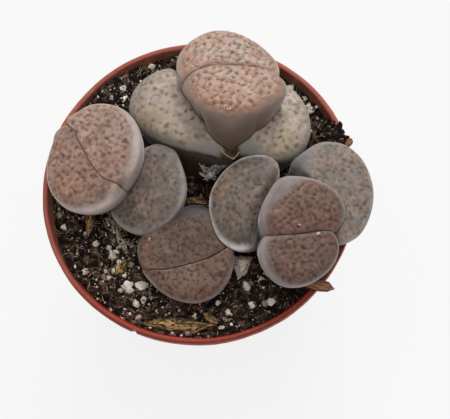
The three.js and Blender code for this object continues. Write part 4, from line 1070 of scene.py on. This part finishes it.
# The soil
def build_soil():
    steps = 250
    bpy.ops.mesh.primitive_grid_add(x_subdivisions=steps, y_subdivisions=steps, size=2, calc_uvs=False)
    bed = called("soil_bed")
    a, b = (points_of(bed)[:, :2] * MM).T
    radius = outer(SOIL_LEVEL) - WALL - 0.06
    x, y = radius * a * np.sqrt(1 - b * b / 2), radius * b * np.sqrt(1 - a * a / 2)
    relief = 0.55 * crumb_relief(x, y, 2.1, 3) + 0.42 * crumb_relief(x, y, 1.15, 17)
    relief += 0.2 * crumb_relief(x, y, 0.6, 31) + 0.12 * noise2(x / 0.5, y / 0.5)
    z = soil_top(x, y) + relief - 0.45
    wall = np.minimum(outer(z) - WALL, RIM_RADIUS - RIM_WIDTH) - 0.06
    edge = smoothstep((np.hypot(x, y) / radius - 0.9) / 0.1)
    scale = 1 + (wall / radius - 1) * edge
    points = np.c_[x * scale, y * scale, z]
    set_points(bed, points)
    pick_only(bed)
    for height in (STEP_HEIGHT, STEP_HEIGHT - STEP_DEPTH, FLOOR + 0.1):
        bpy.ops.object.mode_set(mode="EDIT")
        bpy.ops.mesh.select_mode(type="EDGE")
        if height == STEP_HEIGHT:
            bpy.ops.mesh.select_all(action="SELECT")
            bpy.ops.mesh.region_to_loop()
        bpy.ops.mesh.extrude_region_move()
        bpy.ops.object.mode_set(mode="OBJECT")
        chosen = np.zeros(len(bed.data.vertices), bool)
        bed.data.vertices.foreach_get("select", chosen)
        points = points_of(bed)
        ring = points[chosen]
        inner = outer(height) - WALL - 0.1 - (0 if height == STEP_HEIGHT else STEP_DEPTH)
        ring[:, :2] *= (inner / np.hypot(ring[:, 0], ring[:, 1]))[:, None]
        ring[:, 2] = height
        points[chosen] = ring
        set_points(bed, points)
    bpy.ops.object.mode_set(mode="EDIT")
    bpy.ops.mesh.edge_face_add()
    bpy.ops.object.mode_set(mode="OBJECT")
    close_up(bed)
    points = points_of(bed)
    store(bed, "tone", 0.5 + 0.5 * noise2(points[:, 0] / 0.9, points[:, 1] / 0.9))
    soften(bed, 70)
    return show(bed, SOIL, "soil", "soil")


SOIL_BED = build_soil()


def skin_trees():
    """Each head's surface, to keep loose pieces out of it"""
    return [BVHTree.FromObject(body, bpy.context.evaluated_depsgraph_get()) for body in BUILT.values()]


TREES = skin_trees()


def buried(point, radius):
    """Whether a loose piece there would lie in a leaf"""
    at = Vector(point) * MM
    for tree in TREES:
        hit, normal, _, distance = tree.find_nearest(at, 0.02)
        if hit is not None and ((at - hit).dot(normal) < 0 or distance < radius * 0.6 * MM):
            return True
    return False


def model_of(piece):
    points = points_of(piece) * MM
    faces = [tuple(face.vertices) for face in piece.data.polygons]
    discard(piece)
    return points, faces


def repeated(name, model, bodies, tones):
    """One piece of many copies of a model, each with its own points and tone"""
    count, faces = len(model[0]), model[1]
    all_faces = [tuple(v + i * count for v in face) for i in range(len(bodies)) for face in faces]
    mesh = bpy.data.meshes.new(name)
    mesh.from_pydata([tuple(p) for p in np.concatenate(bodies) * MM], [], all_faces)
    piece = bpy.data.objects.new(name, mesh)
    bpy.context.scene.collection.objects.link(piece)
    store(piece, "tone", np.repeat(tones, count))
    return piece


def crumb_model(seed, rough):
    """A round lump of 24 faces"""
    bpy.ops.mesh.primitive_cube_add(size=2)
    lump = called("crumb_model")
    pick_only(lump)
    bpy.ops.object.mode_set(mode="EDIT")
    bpy.ops.mesh.select_all(action="SELECT")
    bpy.ops.mesh.subdivide(number_cuts=1)
    bpy.ops.object.mode_set(mode="OBJECT")
    points = points_of(lump) * MM
    points /= np.linalg.norm(points, axis=1)[:, None]
    for i, point in enumerate(points):
        points[i] = point * (1 + rough * noise.noise(Vector(point) * 1.3 + Vector((seed, 0, 0))))
    set_points(lump, points / MM)
    return model_of(lump)


def turn_freely(draw, points):
    axis = Vector(draw.normal(size=3)).normalized()
    spin = np.array(Matrix.Rotation(draw.random() * 2 * math.pi, 3, axis))
    return points @ spin.T


def build_crumbs():
    draw = np.random.default_rng(5)
    model = crumb_model(4.0, 0.9)
    bodies, tones = [], []
    wanted = 2300
    while len(bodies) < wanted:
        reach = 38.3 * math.sqrt(draw.random())
        x, y = reach * way(360 * draw.random())
        size = 0.16 + 0.62 * draw.random() ** 3
        z = soil_top(x, y) + 0.35 * size
        if reach + size > 38.2 or buried((x, y, z), size):
            continue
        shape = turn_freely(draw, model[0] * size * (0.45 + 1.1 * draw.random(3)))
        bodies.append(shape + (x, y, z))
        tones.append(draw.random() ** (1.9 + 2 * soil_darkening(x, y)))
    for x, y, height, diameter in SPILLED:
        for _ in range(24):
            offset = draw.normal(size=3) * diameter * 0.22
            size = 0.25 + 0.6 * draw.random() ** 2
            at = np.array([x, y, POT_HEIGHT + height]) + offset * (1, 1, 0.6)
            if buried(at, size * 0.6) or np.hypot(*at[:2]) > 39.8:
                continue
            bodies.append(turn_freely(draw, model[0] * size * (0.4 + 1.2 * draw.random(3))) + at)
            tones.append(0.6 * draw.random() ** 2)
    piece = repeated("soil_crumbs", model, bodies, tones)
    soften(piece, 50)
    return show(piece, CRUMB, "soil")


build_crumbs()


def build_specks():
    """Small white grains and grit among the crumbs"""
    draw = np.random.default_rng(8)
    model = crumb_model(9.0, 0.7)
    bodies, tones = [], []
    while len(bodies) < 520:
        reach = 37.8 * math.sqrt(draw.random())
        x, y = reach * way(360 * draw.random())
        size = 0.1 + 0.34 * draw.random() ** 3
        z = soil_top(x, y) + 0.3 + 0.2 * draw.random()
        if buried((x, y, z), size):
            continue
        bodies.append(turn_freely(draw, model[0] * size * (0.7 + 0.6 * draw.random(3))) + (x, y, z))
        tones.append(draw.random())
    for x, y, size in GRIT:
        shape = turn_freely(draw, model[0] * size * (0.8 + 0.4 * draw.random(3)))
        bodies.append(shape + (x, y, soil_top(x, y) + 0.7 * size))
        tones.append(draw.random())
    for x, y, size in DUST:
        hits = [tree.ray_cast(Vector((x, y, 200)) * MM, Vector((0, 0, -1)))[0] for tree in TREES]
        z = max(hit.z for hit in hits if hit is not None) / MM
        for _ in range(3):
            at = (x, y, z) + draw.normal(size=3) * (size, size, 0.04)
            bodies.append(turn_freely(draw, model[0] * size * (0.4 + 0.5 * draw.random(3))) + at)
            tones.append(1.0)
    piece = repeated("perlite_specks", model, bodies, tones)
    return show(piece, PERLITE, "perlite")


build_specks()


def thread_model():
    """A thin round thread of unit length along Z, cut across in seven places"""
    bpy.ops.mesh.primitive_cylinder_add(vertices=4, radius=1, depth=1, end_fill_type="NGON")
    thread = called("thread_model")
    pick_only(thread)
    bpy.ops.object.mode_set(mode="EDIT")
    for cut in range(1, 8):
        bpy.ops.mesh.select_all(action="SELECT")
        bpy.ops.mesh.bisect(plane_co=(0, 0, cut / 8 - 0.5), plane_no=(0, 0, 1))
    bpy.ops.object.mode_set(mode="OBJECT")
    return model_of(thread)


def bent_thread(model, start, middle, end, radius, taper=0.6, flat=1.0):
    """The model laid along a bend from start by middle to end"""
    local = model[0]
    s = (local[:, 2] + 0.5)[:, None]
    path = start * (1 - s) ** 2 + middle * 2 * s * (1 - s) + end * s**2
    along = (end - start) / max(np.linalg.norm(end - start), 1e-6)
    side = np.cross(along, (0.13, 0.27, 0.95))
    side /= np.linalg.norm(side)
    up = np.cross(side, along)
    thick = radius * (1 - taper * (2 * s - 1) ** 2)
    return path + side * local[:, :1] * thick + up * local[:, 1:2] * thick * flat


def build_fibres(name, material, seed, count, longest, radius, arch):
    draw = np.random.default_rng(seed)
    model = thread_model()
    bodies, tones = [], []
    while len(bodies) < count:
        reach = 38 * math.sqrt(draw.random())
        x, y = reach * way(360 * draw.random())
        length = longest * (0.25 + 0.75 * draw.random() ** 1.5)
        heading = 360 * draw.random()
        half = np.array([*(way(heading) * length / 2), 0])
        side = np.array([*(way(heading + 90) * length * 0.16 * draw.normal()), 0])
        start, end = np.array([x, y, 0]) - half, np.array([x, y, 0]) + half
        if max(np.hypot(*start[:2]), np.hypot(*end[:2])) > 38.4:
            continue
        start[2] = soil_top(*start[:2]) + 0.35 + 0.3 * draw.random()
        end[2] = soil_top(*end[:2]) + 0.35 + 0.6 * draw.random()
        middle = (start + end) / 2 + side + (0, 0, arch * draw.random())
        if any(buried(p, radius) for p in (start, (start + middle) / 2, middle, (middle + end) / 2, end)):
            continue
        bodies.append(bent_thread(model, start, middle, end, radius * (0.6 + 0.8 * draw.random())))
        tones.append(draw.random() ** 1.5 * (1 - 0.6 * soil_darkening(x, y)))
    piece = repeated(name, model, bodies, tones)
    soften(piece, 80)
    return show(piece, material, "soil")


build_fibres("soil_fibres_pale", FIBRE_PALE, 21, 760, 2.0, 0.07, 0.45)
build_fibres("soil_fibres_tan", FIBRE_TAN, 22, 1600, 2.8, 0.075, 0.6)


def build_perlite():
    for number in range(1, 21):
        node = f"perlite_{number:02d}"
        low, high = (np.array(corner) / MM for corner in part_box(node))
        middle, size = (low + high) / 2, (high - low) / 2
        middle[2] = soil_top(middle[0], middle[1]) + (0.8 if number == 10 else 0.35) * max(size)
        draw = np.random.default_rng(60 + number)
        bpy.ops.mesh.primitive_ico_sphere_add(subdivisions=4 if number == 10 else 3, radius=1)
        grain = called(node + "_grain")
        points = points_of(grain) * MM
        for _ in range(14):
            cut = draw.normal(size=3)
            cut /= np.linalg.norm(cut)
            over = np.maximum(points @ cut - (0.42 + 0.34 * draw.random()), 0)
            points -= np.outer(over, cut)
        for i, point in enumerate(points):
            at = Vector(point) + Vector((number, 0, 0))
            points[i] = point * (1.35 + 0.16 * noise.noise(at * 2.2) + 0.14 * noise.noise(at * 5))
        round_size = (size[0] + size[1]) / 2 * 1.1
        longer = LARGE_GRAIN if number == 10 else (1, 1, 0.85)
        middle[1] -= 0.8 if number == 10 else 0
        set_points(grain, points * longer * round_size + middle)
        soften(grain, 32)
        show(grain, PUMICE_WITH_PAINTED_LIGHT if number == 10 else PERLITE, "perlite", node)


build_perlite()


def build_husks():
    for node, x, y, length, width, turn, lies, slope, ragged in HUSKS:
        seed = number = int(node[-1])
        bpy.ops.mesh.primitive_grid_add(x_subdivisions=40, y_subdivisions=12, size=2, calc_uvs=False)
        husk = called(node + "_scale")
        u, v = (points_of(husk)[:, :2] * MM).T
        edge = 0.16 * ragged * noise2(u * 4 + seed, np.sign(v) * 3 + seed)
        edge = edge + 0.1 * ragged * noise2(u * 13 + seed, np.sign(v) * 5)
        ends = (1 - np.abs(u) ** 2.2) ** 0.75 if number != 1 else 0.9 * (1 - ((u + 1) / 2) ** 1.7)
        full = np.clip(0.06 + 0.94 * ends + edge, 0.03, 1.15)
        skew = 1 + 0.25 * u
        lengthwise = u * length / 2 + 0.1 * ragged * length * noise2(v * 3 + seed, v * 0) * u**4
        crosswise = v * full * skew * width / 2
        arch = 0.3 * width * (1 - v * v) * (1 - 0.4 * u * u)
        ridges = 0.16 * np.cos(v * 13 + 2 * noise2(u * 2, v * 0 + seed)) + 0.16 * noise2(u * 5 + seed, v * 3)
        local = np.c_[lengthwise, crosswise, arch + ridges + 0.25 * ragged * noise2(u * 2.1, v * 1.3 + seed)]
        set_points(husk, local)
        dim = 1 - 0.75 * np.abs(v) ** 5 - 0.6 * ragged * smoothstep(2 * noise2(u * 3.1 + seed, v * 2) - 0.6)
        store(husk, "along", np.c_[u * length / 4 + seed, v, np.clip(dim, 0, 1)])
        finish_with(husk, "SOLIDIFY", thickness=0.22 * MM, offset=0)
        points = points_of(husk)
        tilt = np.array(Matrix.Rotation(math.radians(-slope), 3, "Y"))
        spin = np.array(Matrix.Rotation(math.radians(turn), 3, "Z"))
        height = POT_HEIGHT + lies if lies is not None else soil_top(x, y) + 0.55
        set_points(husk, points @ tilt.T @ spin.T + (x, y, height))
        close_up(husk)
        soften(husk, 60)
        show(husk, BARK if number > 5 else HUSK, "husk", node)


build_husks()


FILM_SHARE = 0.45


def build_torn_sheath():
    """The thin torn edge that the new pair pushed through, its lower film darkened as painted shade"""
    line = np.array(TORN_SHEATH) + (0, 0, POT_HEIGHT)
    along = np.linspace(0, len(line) - 1, 61)
    middle = np.c_[[np.interp(along, np.arange(len(line)), line[:, k]) for k in range(3)]].T
    bpy.ops.mesh.primitive_grid_add(x_subdivisions=60, y_subdivisions=8, size=2, calc_uvs=False)
    sheath = called("torn_sheath_edge")
    u, v = (points_of(sheath)[:, :2] * MM).T
    points = middle[np.rint((u + 1) * 30).astype(int)]
    up = (v + 1) / 2
    ragged = np.maximum(up - FILM_SHARE, 0) / (1 - FILM_SHARE)
    film = np.maximum(FILM_SHARE - up, 0) / FILM_SHARE
    torn = 0.75 + 0.4 * noise2(u * 9, u * 0) + 0.35 * noise2(u * 31, u * 0 + 4)
    outward = points[:, :2] - (8.6, 14)
    outward /= np.linalg.norm(outward, axis=1)[:, None]
    curl = 0.35 * ragged**2 - 1.7 * film + 0.1 * noise2(u * 14, up * 2)
    points[:, :2] += outward * curl[:, None]
    points[:, 2] += ragged * 1.1 * torn - 0.1 - 0.4 * film
    set_points(sheath, points)
    # The third part paints shade on the lower film, tucked down among the leaves
    store(sheath, "along", np.c_[up * 1.5, u * 3, smoothstep((up - FILM_SHARE + 0.1) / 0.2)])
    finish_with(sheath, "SOLIDIFY", thickness=0.17 * MM, offset=0)
    close_up(sheath)
    soften(sheath, 60)
    return show(sheath, SHEATH, "dry_sheath", "torn_sheath")


build_torn_sheath()


def build_papery_strips():
    """Pale remains of an old sheath on the soil beside the left old pair"""
    draw = np.random.default_rng(15)
    model = thread_model()
    line = np.array(PAPERY_STRIPS)
    bodies = []
    for _ in range(84):
        along = (len(line) - 1.01) * draw.random()
        low = int(along)
        x, y = line[low] + (line[low + 1] - line[low]) * (along - low) + draw.normal(size=2) * 0.8
        heading = line[low + 1] - line[low]
        half = heading / np.linalg.norm(heading) * (0.25 + 0.6 * draw.random()) + draw.normal(size=2) * 0.22
        ends = [np.array([a, b, soil_top(a, b) + 0.55]) for a, b in ((x - half[0], y - half[1]), (x + half[0], y + half[1]))]
        middle = (ends[0] + ends[1]) / 2 + (0, 0, 0.2 + 0.7 * draw.random())
        if not any(buried(point, 0.2) for point in (*ends, middle)):
            bodies.append(bent_thread(model, ends[0], middle, ends[1], 0.12 + 0.16 * draw.random(), 0.5, 0.5))
    strips = repeated("papery_strips", model, bodies, draw.random(len(bodies)))
    points = points_of(strips)
    store(strips, "along", np.c_[points[:, 0], points[:, 1] * 3, 0.3 + 0.7 * np.repeat(draw.random(len(bodies)), len(model[0]))])
    soften(strips, 50)
    return show(strips, PAPER, "dry_sheath")


build_papery_strips()


def build_flower_stalk():
    """The withered flower: a tangle of flat grey fibres round a short stub, with painted shade on its lower fibres
    """
    draw = np.random.default_rng(77)
    model = thread_model()
    bodies, tones = [], []
    core = np.array([3.2, 3.0, POT_HEIGHT + 3.6])
    tips = np.array([(1.2, 4.6, 4.8), (1.2, 2.6, 4.6), (2.6, 1.2, 4.2), (4.4, 1.4, 3.8), (4.8, 4.8, 5.2),
                     (7.8, 5.2, 5.6), (7.0, 4.6, 5.2)]) + (0, 0, POT_HEIGHT)
    for i in range(70):
        tip = core + (tips[i % len(tips)] - core) * 0.86 + draw.normal(size=3) * (0.5, 0.5, 0.3)
        start = core + draw.normal(size=3) * (0.5, 0.5, 0.5)
        bend = (start + tip) / 2 + draw.normal(size=3) * 0.7
        flat = 0.3 + 0.3 * draw.random()
        bodies.append(bent_thread(model, start, bend, tip, 0.13 + 0.25 * draw.random() ** 2, 0.5, flat))
        tones.append(draw.random())
    stalk = repeated("dried_flower", model, bodies, tones)
    points = points_of(stalk)
    # Painted shade: the fibres take the dark colour lower down and their own lighter one near the top
    lit_share = smoothstep((points[:, 2] - POT_HEIGHT - 2.6) / 2)
    store(stalk, "along", np.c_[points[:, 0] * 0.6, points[:, 1] * 0.2, lit_share])
    soften(stalk, 70)
    return show(stalk, FLOWER, "dry_fibre", "dried_flower_stalk")


build_flower_stalk()


# The floor, the light and the camera
def floor_finish():
    material, w, surface = new_finish("pale_floor", Specular_IOR_Level=0.0, Emission_Strength=0.84,
                                      Emission_Color=(1, 1, 1, 1))
    fine = w.noise(w.place(), 40, 2, 0.5)
    colour = w.mix(fine, tone("5a5a5a"), tone("5c5c5c"))
    into(w, surface, Base_Color=colour, Roughness=w.span(fine, 0.3, 0.7, 0.8, 0.9))
    return material


def build_floor():
    bpy.ops.mesh.primitive_grid_add(x_subdivisions=8, y_subdivisions=8, size=4, location=(0, 0, -0.0002))
    floor = called("floor")
    floor.data.materials.append(floor_finish())
    floor.visible_diffuse = False


build_floor()


def soft_light(name, place, size, power, colour=(1, 1, 1)):
    data = bpy.data.lights.new(name, "AREA")
    data.shape, data.size, data.energy, data.color = "DISK", size, power, colour
    lamp = bpy.data.objects.new(name, data)
    bpy.context.scene.collection.objects.link(lamp)
    lamp.location = place
    lamp.rotation_euler = (Vector((0, 0, 0.05)) - Vector(place)).to_track_quat("-Z", "Y").to_euler()


soft_light("window", (0.15, 0.8, 0.75), 0.6, 6.6)
soft_light("overhead", (0.1, 0.1, 1.1), 0.9, 3.2)
world = bpy.data.worlds.new("studio")
world.use_nodes = True
world.node_tree.nodes["Background"].inputs[0].default_value = (1, 1, 1, 1)
world.node_tree.nodes["Background"].inputs[1].default_value = 0.45
bpy.context.scene.world = world
bpy.context.scene.view_settings.view_transform = "Standard"

VIEW_TURN, VIEW_RISE, DISTANCE, FOCAL = math.radians(15), math.radians(72), 0.45, 1771
IMAGE_WIDTH, SENSOR = 450, 36.0
RIM_CENTRE_FROM_MIDDLE = (-26.5, 20.0)


def build_camera():
    back = Vector((math.sin(VIEW_TURN) * math.cos(VIEW_RISE),
                   -math.cos(VIEW_TURN) * math.cos(VIEW_RISE), math.sin(VIEW_RISE)))
    up = (Vector((0, 1, 0)) - back * back.y).normalized()
    right = up.cross(back)
    eye = Vector((0, 0, POT_HEIGHT * MM)) + back * DISTANCE
    offset_x, offset_y = RIM_CENTRE_FROM_MIDDLE
    aim = (-back - right * offset_x / FOCAL - up * offset_y / FOCAL).normalized()
    across = up.cross(-aim).normalized()
    upward = (-aim).cross(across)
    data = bpy.data.cameras.new("camera")
    data.sensor_width, data.lens = SENSOR, FOCAL * SENSOR / IMAGE_WIDTH
    data.clip_start, data.clip_end = 0.01, 20
    camera = bpy.data.objects.new("camera", data)
    camera.matrix_world = Matrix((
        (across.x, upward.x, -aim.x, eye.x), (across.y, upward.y, -aim.y, eye.y),
        (across.z, upward.z, -aim.z, eye.z), (0, 0, 0, 1)))
    bpy.context.scene.collection.objects.link(camera)
    bpy.context.scene.camera = camera


build_camera()
